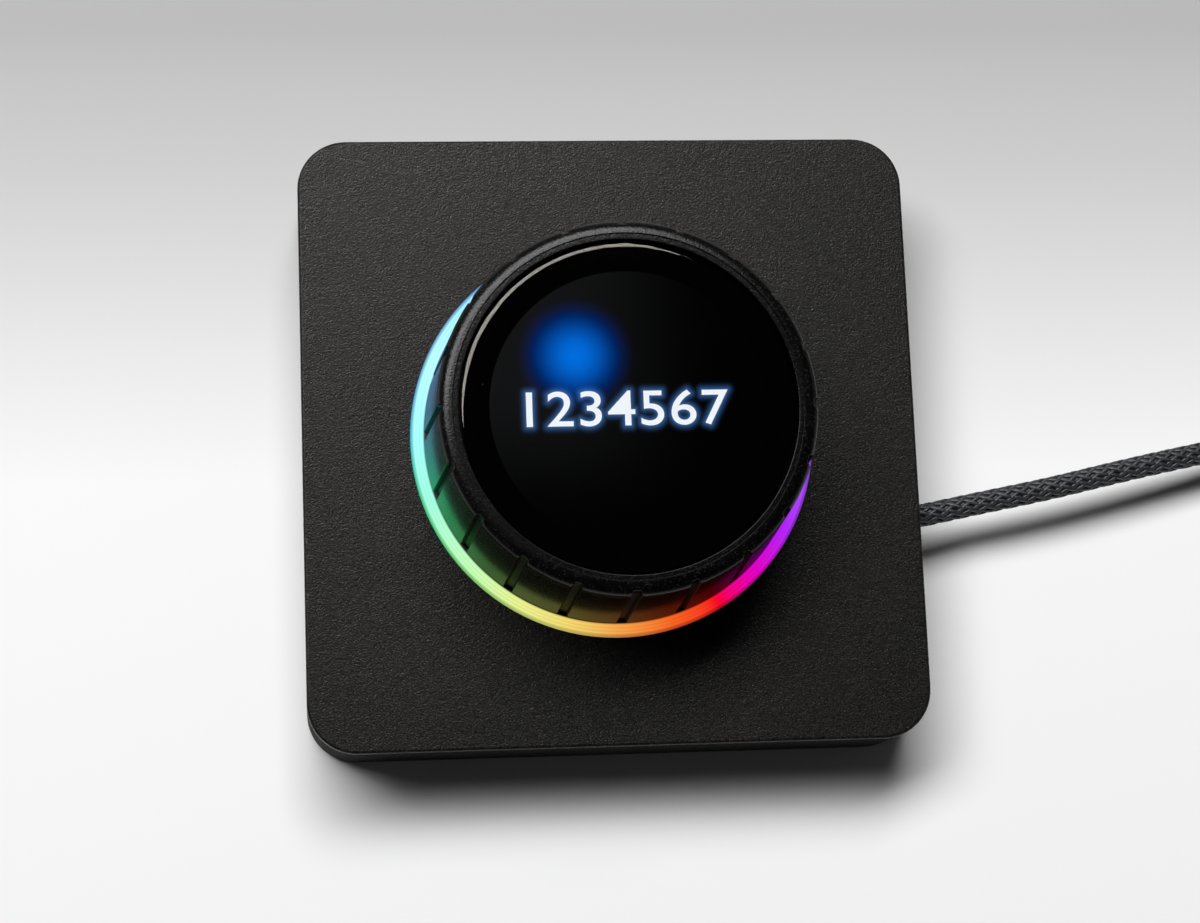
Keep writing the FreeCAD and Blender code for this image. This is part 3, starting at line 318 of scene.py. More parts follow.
def shape(tree, kind, links=None, output=0, **settings):
    return node(tree, "GeometryNode" + kind, links, output, **settings)


def closeShape(given, out, geometry):
    # every tree ends as a real mesh with its material
    tree = geometry.tree
    real = shape(tree, "RealizeInstances", {0: geometry})
    feed(shape(tree, "SetMaterial", {"Geometry": real, "Material": given["Material"]}), out[0])
    return tree


def runTree(source, tree, values, name):
    # the tree's result on an object, as a plain mesh object
    modifier = source.modifiers.new(tree.name, "NODES")
    modifier.node_group = tree
    sockets = {s.name: s.identifier for s in tree.interface.items_tree if s.in_out == "INPUT"}
    for label, value in values.items():
        modifier[sockets[label]] = value
    mesh = evaluated(source)
    source.modifiers.remove(modifier)
    dropObject(source)
    mesh.name = name
    return addObject(name, mesh)


# shader groups, each built once and placed in the materials with its own values

def newGroup(name, inputs):
    return newTree("ShaderNodeTree", name, inputs,
                   {"Colour": "Color", "Roughness": "Float", "Normal": "Vector"})[1:]


def closeGroup(out, colour, roughness, height, depth):
    tree = height.tree
    normal = node(tree, "ShaderNodeBump", {"Height": height, "Distance": depth, "Strength": 1.0})
    for label, value in (("Colour", colour), ("Roughness", roughness), ("Normal", normal)):
        feed(value, out[label])
    return tree


def gainOf(change, swing, least=0.05):
    return reckon("MAXIMUM", reckon("MULTIPLY_ADD", change, swing, 1.0), least)


def swung(value, given):
    return reckon("MULTIPLY_ADD", value, given["Roughness Swing"], given["Roughness"])


def makeMouldedGrain():
    # fine moulded or sprayed grain: small pimples, some of them pale, and a slow change of tone
    given, out = newGroup("mouldedGrain", {
        "Place": "Vector", "Colour": (0.04, 0.04, 0.04, 1), "Speckle": (0.12, 0.12, 0.12, 1),
        "Speckle Share": 0.3, "Grain Size": 0.0003, "Grain Depth": 0.00003, "Roughness": 0.55,
        "Roughness Swing": 0.1, "Tone Swing": 0.25,
    })
    place = scaled(given["Place"], 1.0 / given["Grain Size"])
    away, own = cells(place)
    dome = spread(away, 0.0, 0.75, 1.0, 0.0)
    height = dome * 0.6 + (noise(place, 0.5) + own * 0.4)
    slow = noise(given["Place"], 90.0)
    gain = gainOf((own - 0.5) + spread(slow, 0.3, 0.7, -0.5, 0.5), given["Tone Swing"])
    spots = spread(own, 0.82, 0.9) * spread(dome, 0.3, 0.7) * given["Speckle Share"]
    colour = mixColours(spots, toned(given["Colour"], gain), given["Speckle"])
    return closeGroup(out, colour, swung(0.5 - own, given), height, given["Grain Depth"])


def makeLeatherGrain():
    # the plate's top: small pebbles parted by creases, each with a tone of its own, and painted shade that
    # darkens the creases and low wrinkles and lightens the pebbles' tops
    given, out = newGroup("leatherGrain", {
        "Place": "Vector", "Colour": (0.045, 0.043, 0.041, 1), "Warm": (0.06, 0.052, 0.045, 1),
        "Pebble Size": 0.0003, "Pebble Depth": 0.0001, "Tone Swing": 1.0, "Roughness": 0.5,
        "Roughness Swing": 0.2,
    })
    place = scaled(given["Place"], 1.0 / given["Pebble Size"])
    place = vectorMath("ADD", place, scaled(noise(place, 0.3, 1.0, output=1), 1.2))
    away, own = cells(place)
    dome = spread(away, 0.0, 0.75, 1.0, 0.0)
    wrinkle = noise(place, 0.7, 3.0, 0.6)
    height = dome * 0.5 + (wrinkle + own * 0.25)
    slow = noise(given["Place"], 55.0, 3.0, 0.55)
    warm = mixColours(spread(slow, 0.35, 0.7), given["Colour"], given["Warm"])
    # painted shade: the colour is darker where the grain is low and lighter where it is high
    creaseShade = spread(dome, 0.2, 0.8, -0.35, 0.35) + spread(wrinkle, 0.3, 0.7, -0.4, 0.4)
    gain = gainOf((own - 0.5) + creaseShade, given["Tone Swing"])
    return closeGroup(out, toned(warm, gain), swung(0.5 - own, given), height, given["Pebble Depth"])


def makeToolLines():
    # metal with the lines that a lathe, a mill or rolling leaves
    given, out = newGroup("toolLines", {
        "Place": "Vector", "Turned": 1.0, "Colour": (0.6, 0.6, 0.6, 1), "Line Size": 0.0001,
        "Line Depth": 0.000004, "Roughness": 0.3, "Roughness Swing": 0.15, "Tone Swing": 0.15,
    })
    x, y, z = separate(given["Place"])
    size = 1.0 / given["Line Size"]
    around = combine(lengthOf(x, y) * size, 0.0, z * size)
    along = combine(x * (size * 0.04), y * size, z * size)
    lines = noise(mixColours(given["Turned"], along, around), 1.0, 3.0, 0.6)
    slow = noise(given["Place"], 220.0)
    gain = reckon("MULTIPLY_ADD", spread(lines + slow, 0.7, 1.3, -0.5, 0.5), given["Tone Swing"], 1.0)
    rough = swung(spread(slow, 0.3, 0.7, -0.5, 0.5), given)
    return closeGroup(out, toned(given["Colour"], gain), rough, lines, given["Line Depth"])


def makeBoardPrint():
    # a circuit board: mask with copper tracks under it, and small bright pads
    given, out = newGroup("boardPrint", {
        "Place": "Vector", "Colour": (0.02, 0.09, 0.05, 1), "Track": (0.04, 0.16, 0.08, 1),
        "Pad": (0.7, 0.62, 0.35, 1), "Track Size": 0.0016, "Pad Share": 0.16, "Depth": 0.00003,
    })
    place = scaled(given["Place"], 1.0 / given["Track Size"])
    tracks = node(place.tree, "ShaderNodeTexBrick", {"Vector": place, "Scale": 1.0, "Mortar Size": 0.09,
                  "Brick Width": 2.4, "Row Height": 0.8}, "Fac")
    pads = spread(cells(place, 0.55)[0], given["Pad Share"], given["Pad Share"] + 0.03, 1.0, 0.0)
    colour = mixColours(pads, mixColours(tracks, given["Colour"], given["Track"]), given["Pad"])
    return closeGroup(out, colour, spread(pads, 0.0, 1.0, 0.35, 0.22), tracks + pads, given["Depth"])


def makeYarn():
    # spun yarn: fine fibres, small painted highlights in a pale bluish colour, and a change of tone from
    # stitch to stitch
    given, out = newGroup("yarn", {
        "Place": "Vector", "Colour": (0.02, 0.022, 0.026, 1), "Glint": (0.25, 0.28, 0.33, 1),
        "Fibre Size": 0.00009, "Fibre Depth": 0.00002, "Painted Highlight Share": 0.5, "Roughness": 0.45,
    })
    fine = scaled(given["Place"], 1.0 / given["Fibre Size"])
    fibres = noise(fine, 1.0, 3.0, 0.6)
    gain = spread(noise(fine, 0.12), 0.3, 0.7, 0.55, 1.5)
    # painted highlights: pale bluish fibre glints mixed into the colour, where the roughness is also lower
    paintedHighlights = spread(fibres, 0.62, 0.78) * given["Painted Highlight Share"]
    colour = mixColours(paintedHighlights, toned(given["Colour"], gain), given["Glint"])
    return closeGroup(out, colour, given["Roughness"] - paintedHighlights * 0.3, fibres, given["Fibre Depth"])


def makeStrapWeave():
    # a plain weave read from a piece's own lay: across and along, in metres, with painted shade that lightens
    # the threads where they rise and darkens them where they dip
    given, out = newGroup("strapWeave", {
        "Lay": "Vector", "Colour": (0.05, 0.05, 0.052, 1), "Thread": 0.00045, "Depth": 0.00005,
        "Roughness": 0.8,
    })
    x, y = separate(given["Lay"])[:2]
    size = math.pi / given["Thread"]
    a, b = reckon("SINE", x * size), reckon("SINE", y * size)
    over = a * b
    # painted shade: lighter where the threads rise, darker where they sink
    colour = toned(given["Colour"], spread(over, -1.0, 1.0, 0.6, 1.4))
    return closeGroup(out, colour, given["Roughness"] + over * 0.06,
                      reckon("ABSOLUTE", a) + over * 0.5, given["Depth"])


groups = {
    "moulded": makeMouldedGrain(), "leather": makeLeatherGrain(), "tooled": makeToolLines(),
    "board": makeBoardPrint(), "yarn": makeYarn(), "weave": makeStrapWeave(),
}


def newMaterial(name, values=None):
    # a material, its shader's inputs and a point's place on the object
    material = bpy.data.materials.new(name)
    material.use_nodes = True
    shader = material.node_tree.nodes["Principled BSDF"].inputs
    for label, value in (values or {}).items():
        shader[label].default_value = value
    return material, shader, node(material.node_tree, "ShaderNodeTexCoord", output="Object")


def surface(name, group, values, shader=None, lay=None):
    # a material whose colour, roughness and normal come from one of the groups
    material, inputs, place = newMaterial(name, shader)
    tree = material.node_tree
    made = tree.nodes.new("ShaderNodeGroup")
    made.node_tree = groups[group]
    if lay:
        feed(node(tree, "ShaderNodeAttribute", output="Vector", attribute_name=lay), made.inputs["Lay"])
    else:
        feed(place, made.inputs["Place"])
    for label, value in values.items():
        made.inputs[label].default_value = (*value, 1.0) if isinstance(value, tuple) else value
    for label, target in (("Colour", "Base Color"), ("Roughness", "Roughness"), ("Normal", "Normal")):
        tree.links.new(made.outputs[label], inputs[target])
    return material


print("shader groups:", len(groups))


# the cable's route, with the same points as the CAD source, in millimetres

cableValues = {
    "exit": (38.1, -9.55, 6.5),
    "diameter": 3.0,
    "length": 1500.0,
    "turnRadius": 22.3,
    "pitch": 3.45,
    "firstHeight": 2.15,
    "coilCentre": (106.0, 23.3),
    "turnsPerLayer": (3.0, 3.0, 3.0, 2.5),
    "climbTurns": 0.5,
    "startAngle": -90,
    "pointsPerTurn": 24,
    "seenLength": 69.12,
    "insideLength": 7.3,
    "insideAngle": 11.0,
}

runPoints = [
    (38.1, -9.55, 6.5), (46.2, -7.98, 6.5), (55.6, -6.3, 6.44), (65.0, -4.2, 6.22),
    (74.6, -2.2, 5.5), (83.2, -0.55, 4.3), (90.8, 0.55, 2.95), (98.4, 1.0, 2.15),
]
tailPoints = [
    (113.0, 2.725, 12.5), (121.9, 4.7, 12.3), (130.0, 10.2, 10.6), (134.9, 18.5, 7.7),
    (136.6, 27.6, 4.9), (136.2, 36.0, 3.3), (135.0, 43.2, 3.3),
]


def coilPoint(v, turns):
    # the coil's centre line after some turns: flat spirals in and out, joined by climbing half turns
    left, radius, height = turns, v["turnRadius"], v["firstHeight"]
    pitch, climb, layers = v["pitch"], v["climbTurns"], v["turnsPerLayer"]
    for index, layerTurns in enumerate(layers):
        step = -pitch if index % 2 == 0 else pitch
        spent = min(left, layerTurns)
        radius += step * spent
        left -= spent
        if left <= 0 or index == len(layers) - 1:
            break
        spent = min(left, climb)
        phase = math.pi * spent / climb
        radius += math.copysign(pitch * climb / math.pi, step) * math.sin(phase)
        height += pitch * (1 - math.cos(phase)) / 2
        left -= spent
        if left <= 0:
            break
    angle = math.radians(v["startAngle"]) + 2 * math.pi * turns
    x, y = v["coilCentre"]
    return (x + radius * math.cos(angle), y + radius * math.sin(angle), height)


def cableSamples(v):
    layers = v["turnsPerLayer"]
    turns = sum(layers) + v["climbTurns"] * (len(layers) - 1)
    count = int(round(turns * v["pointsPerTurn"]))
    coil = [coilPoint(v, turns * i / count) for i in range(count + 1)]
    line = curveThrough("cableLine", [Vector(p) * mm for p in runPoints + coil + tailPoints], bent=True)
    mesh = evaluated(line)
    points = [vertex.co.copy() for vertex in mesh.vertices]
    bpy.data.meshes.remove(mesh)
    dropObject(line)
    return points


def splitAt(points, distance):
    # two runs of points that meet at a distance along the line
    gone = 0.0
    for i, (a, b) in enumerate(zip(points, points[1:])):
        step = (b - a).length
        if gone + step >= distance:
            cut = a.lerp(b, (distance - gone) / step)
            return points[:i + 1] + [cut], [cut] + points[i + 1:]
        gone += step
    return points, []


cablePath = cableSamples(cableValues)
cableLength = sum((b - a).length for a, b in zip(cablePath, cablePath[1:]))
print("cable line:", len(cablePath), "samples,", round(cableLength, 4), "m")


# the braided jacket: a core with stitches in columns that lean against each other

braidValues = {
    "Pitch": 2.16 * mm,
    "Columns": 8,
    "Seat Radius": 1.16 * mm,
    "Stitch Length": 2.5 * mm,
    "Stitch Width": 0.74 * mm,
    "Stitch Thickness": 0.58 * mm,
    "Lean": math.radians(27),
    "Core Radius": 1.14 * mm,
    "Core Sides": 12,
}
braidSides = {"seen": 6, "far": 3}


def makeBraidTree():
    tree, given, out = newShape("braidStitches", {**braidValues, "Stitch Sides": braidSides["seen"]})
    line = shape(tree, "ResampleCurve", {"Curve": given["Geometry"], "Length": given["Pitch"] * 0.5},
                 mode="LENGTH")
    ball = shape(tree, "MeshUVSphere", {"Segments": given["Stitch Sides"], "Rings": given["Stitch Sides"],
                 "Radius": 0.5})
    size = combine(given["Stitch Thickness"], given["Stitch Width"], given["Stitch Length"])
    stitch = shape(tree, "Transform", {"Geometry": ball, "Scale": size})
    index = shape(tree, "InputIndex")
    points = shape(tree, "CurveToPoints", {"Curve": line}, "Points", mode="EVALUATED")
    profile = shape(tree, "CurvePrimitiveCircle", {"Resolution": given["Core Sides"],
                    "Radius": given["Core Radius"]}, mode="RADIUS")
    core = shape(tree, "CurveToMesh", {"Curve": line, "Profile Curve": profile, "Fill Caps": True})
    joined = tree.nodes.new("GeometryNodeJoinGeometry")
    feed(core, joined.inputs[0])
    # stitches lean one way at even places and the other way between them
    for side, odd in ((1.0, 0.0), (-1.0, 1.0)):
        leaned = shape(tree, "Transform", {"Geometry": stitch, "Rotation": combine(given["Lean"] * side)})
        seated = shape(tree, "Transform", {"Geometry": leaned, "Translation": combine(given["Seat Radius"])})
        spots = shape(tree, "MeshCircle", {"Vertices": given["Columns"], "Radius": 0.0})
        turn = combine(0.0, 0.0, (index + 0.25 * side) * (2 * math.pi / given["Columns"]))
        ring = shape(tree, "InstanceOnPoints", {"Points": spots, "Instance": seated, "Rotation": turn})
        ring = shape(tree, "RealizeInstances", {0: ring})
        chosen = node(tree, "FunctionNodeCompare", {0: reckon("MODULO", index, 2.0), 1: odd, "Epsilon": 0.1},
                      data_type="FLOAT", operation="EQUAL")
        placed = shape(tree, "InstanceOnPoints", {"Points": points, "Selection": chosen, "Instance": ring,
                       "Rotation": points.beside("Rotation")})
        feed(placed, joined.inputs[0])
    whole = shape(tree, "RealizeInstances", {0: Value(tree, joined.outputs[0])})
    return closeShape(given, out, shape(tree, "SetShadeSmooth", {"Geometry": whole, "Shade Smooth": True}))


# the braid's colour carries painted highlights in a pale bluish tone
cableBraid = surface("cableBraid", "yarn", {
    "Colour": (0.018, 0.02, 0.024), "Glint": (0.16, 0.18, 0.23), "Fibre Size": 0.11 * mm,
    "Fibre Depth": 0.03 * mm, "Painted Highlight Share": 0.4, "Roughness": 0.42,
}, {"Specular IOR Level": 0.6})
braidTree = makeBraidTree()


def braided(name, sections):
    # sections of a line, each with its own stitch detail, as one piece
    whole = bmesh.new()
    for points, sides in sections:
        values = {**braidValues, "Stitch Sides": sides, "Material": cableBraid}
        part = runTree(curveThrough("braidLine", points), braidTree, values, name)
        whole.from_mesh(part.data)
        dropObject(part)
    mesh = bpy.data.meshes.new(name)
    whole.to_mesh(mesh)
    whole.free()
    return dress(addObject(name, mesh), cableBraid)


def makeCable(v):
    seen, rest = splitAt(cablePath, v["seenLength"] * mm)
    piece = braided("cable", [(seen, braidSides["seen"]), (rest, braidSides["far"])])
    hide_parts("cable_run", "cable_coil", "cable_tail")
    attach(piece, "base")
    angle = math.radians(v["insideAngle"])
    start = Vector(v["exit"]) * mm
    back = Vector((-math.cos(angle), -math.sin(angle), 0)) * v["insideLength"] * mm
    inside = braided("cableInside", [([start + back * i / 4 for i in range(5)], braidSides["far"])])
    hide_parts("cable_inner")
    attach(inside, "base")
    return piece


cable = makeCable(cableValues)
print("cable:", len(cable.data.polygons), "faces")


# two woven straps that tie the coil, each a closed band with a flap on top

tieValues = {
    "centre": (106.0, 23.3),
    "angles": (30.0, 205.0),
    "inner": 9.11,
    "outer": 24.5,
    "low": 0.5,
    "high": 14.15,
    "thick": 0.5,
    "width": 7.0,
    "edgeShare": 0.2,
    "bend": 1.6,
    "flap": (21.5, 11.5),
    "flapSteps": 10,
    "flapRise": 0.52,
}


def strap(path, v, closed, angle):
    # a flat band along a path in the plane of the coil's axis
    section = roundedRectangle(v["width"] / 2, v["thick"] / 2, v["edgeShare"] * v["thick"], 3)
    turn = Matrix.Rotation(math.radians(angle), 3, "Z")
    centre = Vector((*v["centre"], 0))
    vertices, lays, along = [], [], 0.0
    path = [Vector(place) for place in path]
    last = len(path) - 1
    for i, place in enumerate(path):
        before = path[i - 1] if closed or i else place
        after = path[(i + 1) % len(path)] if closed or i < last else place
        way = (after - before).normalized()
        if i:
            along += (place - path[i - 1]).length
        for across, height in section:
            r, z = place + Vector((way.y, -way.x)) * height
            vertices.append((centre + turn @ Vector((r, across, z))) * mm)
            lays.append((across * mm, along * mm, 0.0))
    return vertices, tube(len(path), len(section), closed), lays


def makeTies(v):
    half = v["thick"] / 2
    left, right = v["inner"] - half, v["outer"] + half
    low, high = v["low"] - half, v["high"] + half
    ring = roundedRectangle((right - left) / 2, (high - low) / 2, v["bend"] + half, 8)
    ring = [(x + (left + right) / 2, z + (low + high) / 2) for x, z in ring]
    start, end = v["flap"]
    steps = v["flapSteps"]
    flap = [(start + (end - start) * i / steps, high + v["flapRise"]) for i in range(steps + 1)]
    vertices, faces, lays = [], [], []
    for angle in v["angles"]:
        for path, closed in ((ring, True), (flap, False)):
            points, quads, lay = strap(path, v, closed, angle)
            faces += [tuple(k + len(vertices) for k in face) for face in quads]
            vertices += points
            lays += lay
    piece = meshPiece("coilTies", vertices, faces)
    attribute = piece.data.attributes.new("lay", "FLOAT_VECTOR", "POINT")
    attribute.data.foreach_set("vector", [c for lay in lays for c in lay])
    woven = surface("strapWoven", "weave", {"Colour": (0.05, 0.05, 0.052)}, {"Sheen Weight": 0.3}, "lay")
    dress(tidied(piece, 50), woven)
    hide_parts("cable_ties")
    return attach(piece, "base")


coilTies = makeTies(tieValues)


# the plug's moulded body with grip ribs, and its ribbed sleeve on the cable's end

plugValues = {
    "length": 21.0,
    "width": 11.6,
    "height": 6.6,
    "round": 2.2,
    "neck": 4.0,
    "rearWidth": 7.6,
    "rearHeight": 5.4,
    "rearRound": 0.4,
    "frontRound": 0.5,
    "rearStops": (0.0, 0.05, 0.12, 0.25, 0.4, 0.8, 1.4, 2.0, 2.6, 3.2, 4.0, 4.6),
    "frontStops": (15.0, 17.0, 19.0, 20.5, 20.6, 20.75, 20.88, 20.96, 21.0),
    "ribFrom": 5.0,
    "ribTo": 14.0,
    "ribPitch": 1.5,
    "ribDepth": 0.22,
    "ribStep": 0.15,
    "mouth": (8.42, 2.64),
    "mouthRound": 1.27,
    "shellSeat": 1.0,
    "sleeveLength": 9.0,
}
sleeveValues = {
    "Start Radius": 1.72 * mm,
    "End Radius": 2.5 * mm,
    "Rib Depth": 0.16 * mm,
    "Rib Pitch": 1.5 * mm,
    "Rib Power": 0.6,
    "Step": 0.15 * mm,
    "Sides": 32,
}

plugBlack = surface("plugMoulding", "moulded", {
    "Colour": (0.03, 0.03, 0.032), "Speckle": (0.06, 0.06, 0.062), "Speckle Share": 0.3,
    "Grain Size": 0.12 * mm, "Grain Depth": 0.008 * mm, "Roughness": 0.55,
})


def plugRing(v, x):
    # the body's outline at a distance from its rear: narrow at the rear, ribbed in the middle
    share = min(1.0, x / v["neck"])
    share = share * share * (3 - 2 * share)
    inset = 0.0
    if v["ribFrom"] <= x <= v["ribTo"]:
        inset += v["ribDepth"] * math.sin(math.pi * (x - v["ribFrom"]) / v["ribPitch"]) ** 2
    for left, curve in ((v["length"] - x, v["frontRound"]), (x, v["rearRound"])):
        if left < curve:
            inset += curve - math.sqrt(max(0.0, curve ** 2 - (curve - left) ** 2))
    width = (v["rearWidth"] + (v["width"] - v["rearWidth"]) * share) / 2 - inset
    height = (v["rearHeight"] + (v["height"] - v["rearHeight"]) * share) / 2 - inset
    return roundedRectangle(width, height, min(v["round"], height - 0.1))


def makePlug(v):
    end = Vector(tailPoints[-1])
    way = (end - Vector(tailPoints[-2])).normalized()
    side = Vector((-way.y, way.x, 0))
    ribs = int((v["ribTo"] - v["ribFrom"]) / v["ribStep"]) + 1
    stops = [*v["rearStops"], *[v["ribFrom"] + v["ribStep"] * i for i in range(ribs)], *v["frontStops"]]
    sections = [(x, plugRing(v, x)) for x in stops]
    mouth = roundedRectangle(v["mouth"][0] / 2, v["mouth"][1] / 2, v["mouthRound"])
    sections += [(v["length"], mouth), (v["length"] - v["shellSeat"], mouth)]
    vertices = [(end + way * x + side * y + Vector((0, 0, z))) * mm for x, ring in sections for y, z in ring]
    body = tidied(meshPiece("plugBody", vertices, tube(len(sections), len(mouth))), 35)
    dress(body, plugBlack)
    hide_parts("plug_body")
    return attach(body, "base")


def makeSleeveTree(v):
    # a ribbed, tapered sleeve that follows a line
    tree, given, out = newShape("ribbedSleeve", v)
    line = shape(tree, "ResampleCurve", {"Curve": given["Geometry"], "Length": given["Step"]}, mode="LENGTH")
    factor = shape(tree, "SplineParameter", output="Factor")
    width = spread(factor, 0.0, 1.0, given["Start Radius"], given["End Radius"])
    phase = factor.beside("Length") * (math.pi / given["Rib Pitch"])
    wave = reckon("POWER", reckon("ABSOLUTE", reckon("SINE", phase)), given["Rib Power"])
    radius = reckon("MULTIPLY_ADD", wave, given["Rib Depth"], width)
    profile = shape(tree, "CurvePrimitiveCircle", {"Resolution": given["Sides"], "Radius": 1.0},
                    mode="RADIUS")
    return closeShape(given, out, shape(tree, "CurveToMesh", {
        "Curve": line, "Scale": radius, "Profile Curve": profile, "Fill Caps": True}))


def makeSleeve(v, length):
    last = splitAt(cablePath, cableLength - length * mm)[1]
    line = curveThrough("sleeveLine", last)
    piece = tidied(runTree(line, makeSleeveTree(v), {**v, "Material": plugBlack}, "plugSleeve"), 50)
    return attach(piece, "base")


plugBody = makePlug(plugValues)
plugSleeve = makeSleeve(sleeveValues, plugValues["sleeveLength"])
print("ties, plug and sleeve made")


# turned pieces: a closed outline swept round the axis, with flat-floored grooves cut down its sloped wall

def makeTurnedTree():
    tree, given, out = newShape("turnedShell", {
        "Path Radius": 0.02, "Groove Count": 20, "Steps A Groove": 24, "Groove Width": 0.001,
        "Floor Width": 0.0006, "Groove Depth": 0.0004, "Floor Share": 0.12, "Side Share": 0.2,
        "Low": 0.0, "High": 1.0, "Low Radius": 1.0, "High Radius": 1.0,
    })
    ring = shape(tree, "CurvePrimitiveCircle", {"Resolution": given["Groove Count"] * given["Steps A Groove"],
                 "Radius": given["Path Radius"]}, mode="RADIUS")
    shell = shape(tree, "CurveToMesh", {"Curve": ring, "Profile Curve": given["Geometry"]})
    x, y, z = separate(shape(tree, "InputPosition"))
    radius = lengthOf(x, y)
    share = given["Groove Count"] / (2 * math.pi)
    turns = reckon("ARCTAN2", y, x) * share
    whole = reckon("FLOOR", turns + 0.5)
    off = turns - whole
    # the steps crowd at a groove's floor and sides
    floor = given["Floor Width"] * 0.5
    side = (given["Groove Width"] - given["Floor Width"]) * 0.5
    rest = radius * 0.5 / share - (floor + side)
    away = reckon("ABSOLUTE", off)
    aside = spread(away, 0.0, given["Floor Share"], 0.0, floor)
    aside = aside + spread(away, given["Floor Share"], given["Side Share"], 0.0, side)
    aside = aside + spread(away, given["Side Share"], 0.5, 0.0, rest)
    angle = whole / share + aside * reckon("SIGN", off) / radius
    wall = spread(z, given["Low"], given["High"], given["Low Radius"], given["High Radius"])
    climb = reckon("MAXIMUM", aside - floor, 0.0) * given["Groove Depth"] / side
    reach = reckon("MINIMUM", radius, wall - given["Groove Depth"] + climb)
    place = combine(reach * reckon("COSINE", angle), reach * reckon("SINE", angle), z)
    return closeShape(given, out, shape(tree, "SetPosition", {"Geometry": shell, "Position": place}))


turnedTree = makeTurnedTree()
# the circle that outlines are swept along, in millimetres
pathRadius = 20.0


def turned(name, outline, material, values=None):
    # outline points are (radius, height) in millimetres
    line = curveThrough("outline", [((r - pathRadius) * mm, -z * mm, 0.0) for r, z in outline], closed=True)
    values = {"Path Radius": pathRadius * mm, "Material": material, **(values or {})}
    return tidied(runTree(line, turnedTree, values, name), 30, 1e-8)


# the knob's shell

knobValues = {
    "bottom": 15.2,
    "bottomRound": 0.3,
    "top": 32.7,
    "bottomRadius": 22.95,
    "wallLow": 15.5,
    "wallHigh": 31.6,
    "wallTop": 22.05,
    "wallRows": (15.8, 19.0, 23.0, 27.0, 31.0, 31.3),
    "crownSteps": 14,
    "crownPower": 0.8,
    "crownTilt": 0.08,
    "rimStep": 20.3,
    "stepSlope": 0.14,
    "stepDepth": 0.12,
    "stepRound": 0.03,
    "opening": 19.65,
    "openingRound": 0.12,
    "openingDepth": 1.9,
    "inner": 20.35,
    "webInner": 9.5,
    "webTop": 28.0,
    "webBottom": 26.6,
    "grooveCount": 20,
    "grooveSteps": 24,
    "floorSteps": 3,
    "sideSteps": 5,
    "grooveWidth": 1.3,
    "floorWidth": 0.8,
    "grooveDepth": 0.55,
    # shares of the rim's grain and roughness on the wall, and where the change ends under the rim
    "wallGrain": 0.2,
    "wallRoughness": 0.72,
    "smoothBelow": 1.5,
    "grooveRoughness": 0.42,
    "grooveEdge": (0.03, 0.1),
}

knobBlack = surface("knobCoating", "moulded", {
    "Colour": (0.0018, 0.0018, 0.0017), "Speckle": (0.045, 0.044, 0.043), "Speckle Share": 0.3,
    "Grain Size": 0.2 * mm, "Grain Depth": 0.014 * mm, "Roughness": 0.2, "Roughness Swing": 0.08,
    "Tone Swing": 1.2,
}, {"Specular IOR Level": 0.18})


def wallSlope(v):
    return (v["bottomRadius"] - v["wallTop"]) / (v["wallHigh"] - v["wallLow"])


def smoothWall(material, v):
    # the wall is smoother than the rim, and its grooves are rough
    tree = material.node_tree
    inputs = next(n for n in tree.nodes if n.type == "GROUP").inputs
    x, y, z = separate(node(tree, "ShaderNodeTexCoord", output="Object"))
    low, high = (v["wallHigh"] - v["smoothBelow"]) * mm, v["wallHigh"] * mm
    grain, roughness = inputs["Grain Depth"].default_value, inputs["Roughness"].default_value
    feed(spread(z, low, high, grain * v["wallGrain"], grain), inputs["Grain Depth"])
    wall = spread(z, v["wallLow"] * mm, high, v["bottomRadius"] * mm, v["wallTop"] * mm)
    start, end = v["grooveEdge"]
    groove = spread(wall - lengthOf(x, y), start * mm, end * mm, 0.0, v["grooveRoughness"])
    groove = groove * spread(z, low, high, 1.0, 0.0)
    plain = spread(z, low, high, roughness * v["wallRoughness"], roughness)
    feed(reckon("MAXIMUM", plain, groove), inputs["Roughness"])


def knobOutline(v):
    low, top, crown = v["bottom"], v["top"], []
    step, ledge = top - v["stepDepth"], top - v["openingDepth"]
    start = v["rimStep"] + v["stepSlope"]
    # the rim bends over ever faster from its step to the wall
    for i in range(v["crownSteps"] + 1):
        angle = math.pi / 2 * i / v["crownSteps"]
        across = (v["wallTop"] - start) * math.cos(angle) ** v["crownPower"]
        up = (top - v["wallHigh"]) * math.sin(angle) ** v["crownPower"]
        crown.append((start + across, v["wallHigh"] + up - v["crownTilt"] * across, 0.0))
    return rounded([
        (v["inner"], low, 0.0),
        (v["bottomRadius"], low, v["bottomRound"]),
        # rows down the straight wall keep its shading straight
        *[(v["bottomRadius"] - wallSlope(v) * (z - v["wallLow"]), z, 0.0) for z in v["wallRows"]],
        *crown,
        (v["rimStep"], step, v["stepRound"]),
        (v["opening"], step + v["crownTilt"] * (v["rimStep"] - v["opening"]), v["openingRound"]),
        (v["opening"], ledge, 0.0),
        (v["inner"], ledge - v["inner"] + v["opening"], 0.0),
        (v["inner"], v["webTop"], 0.0),
        (v["webInner"], v["webTop"], 0.0),
        (v["webInner"], v["webBottom"], 0.0),
        (v["inner"], v["webBottom"], 0.0),
    ], segments=6, share=0.85)


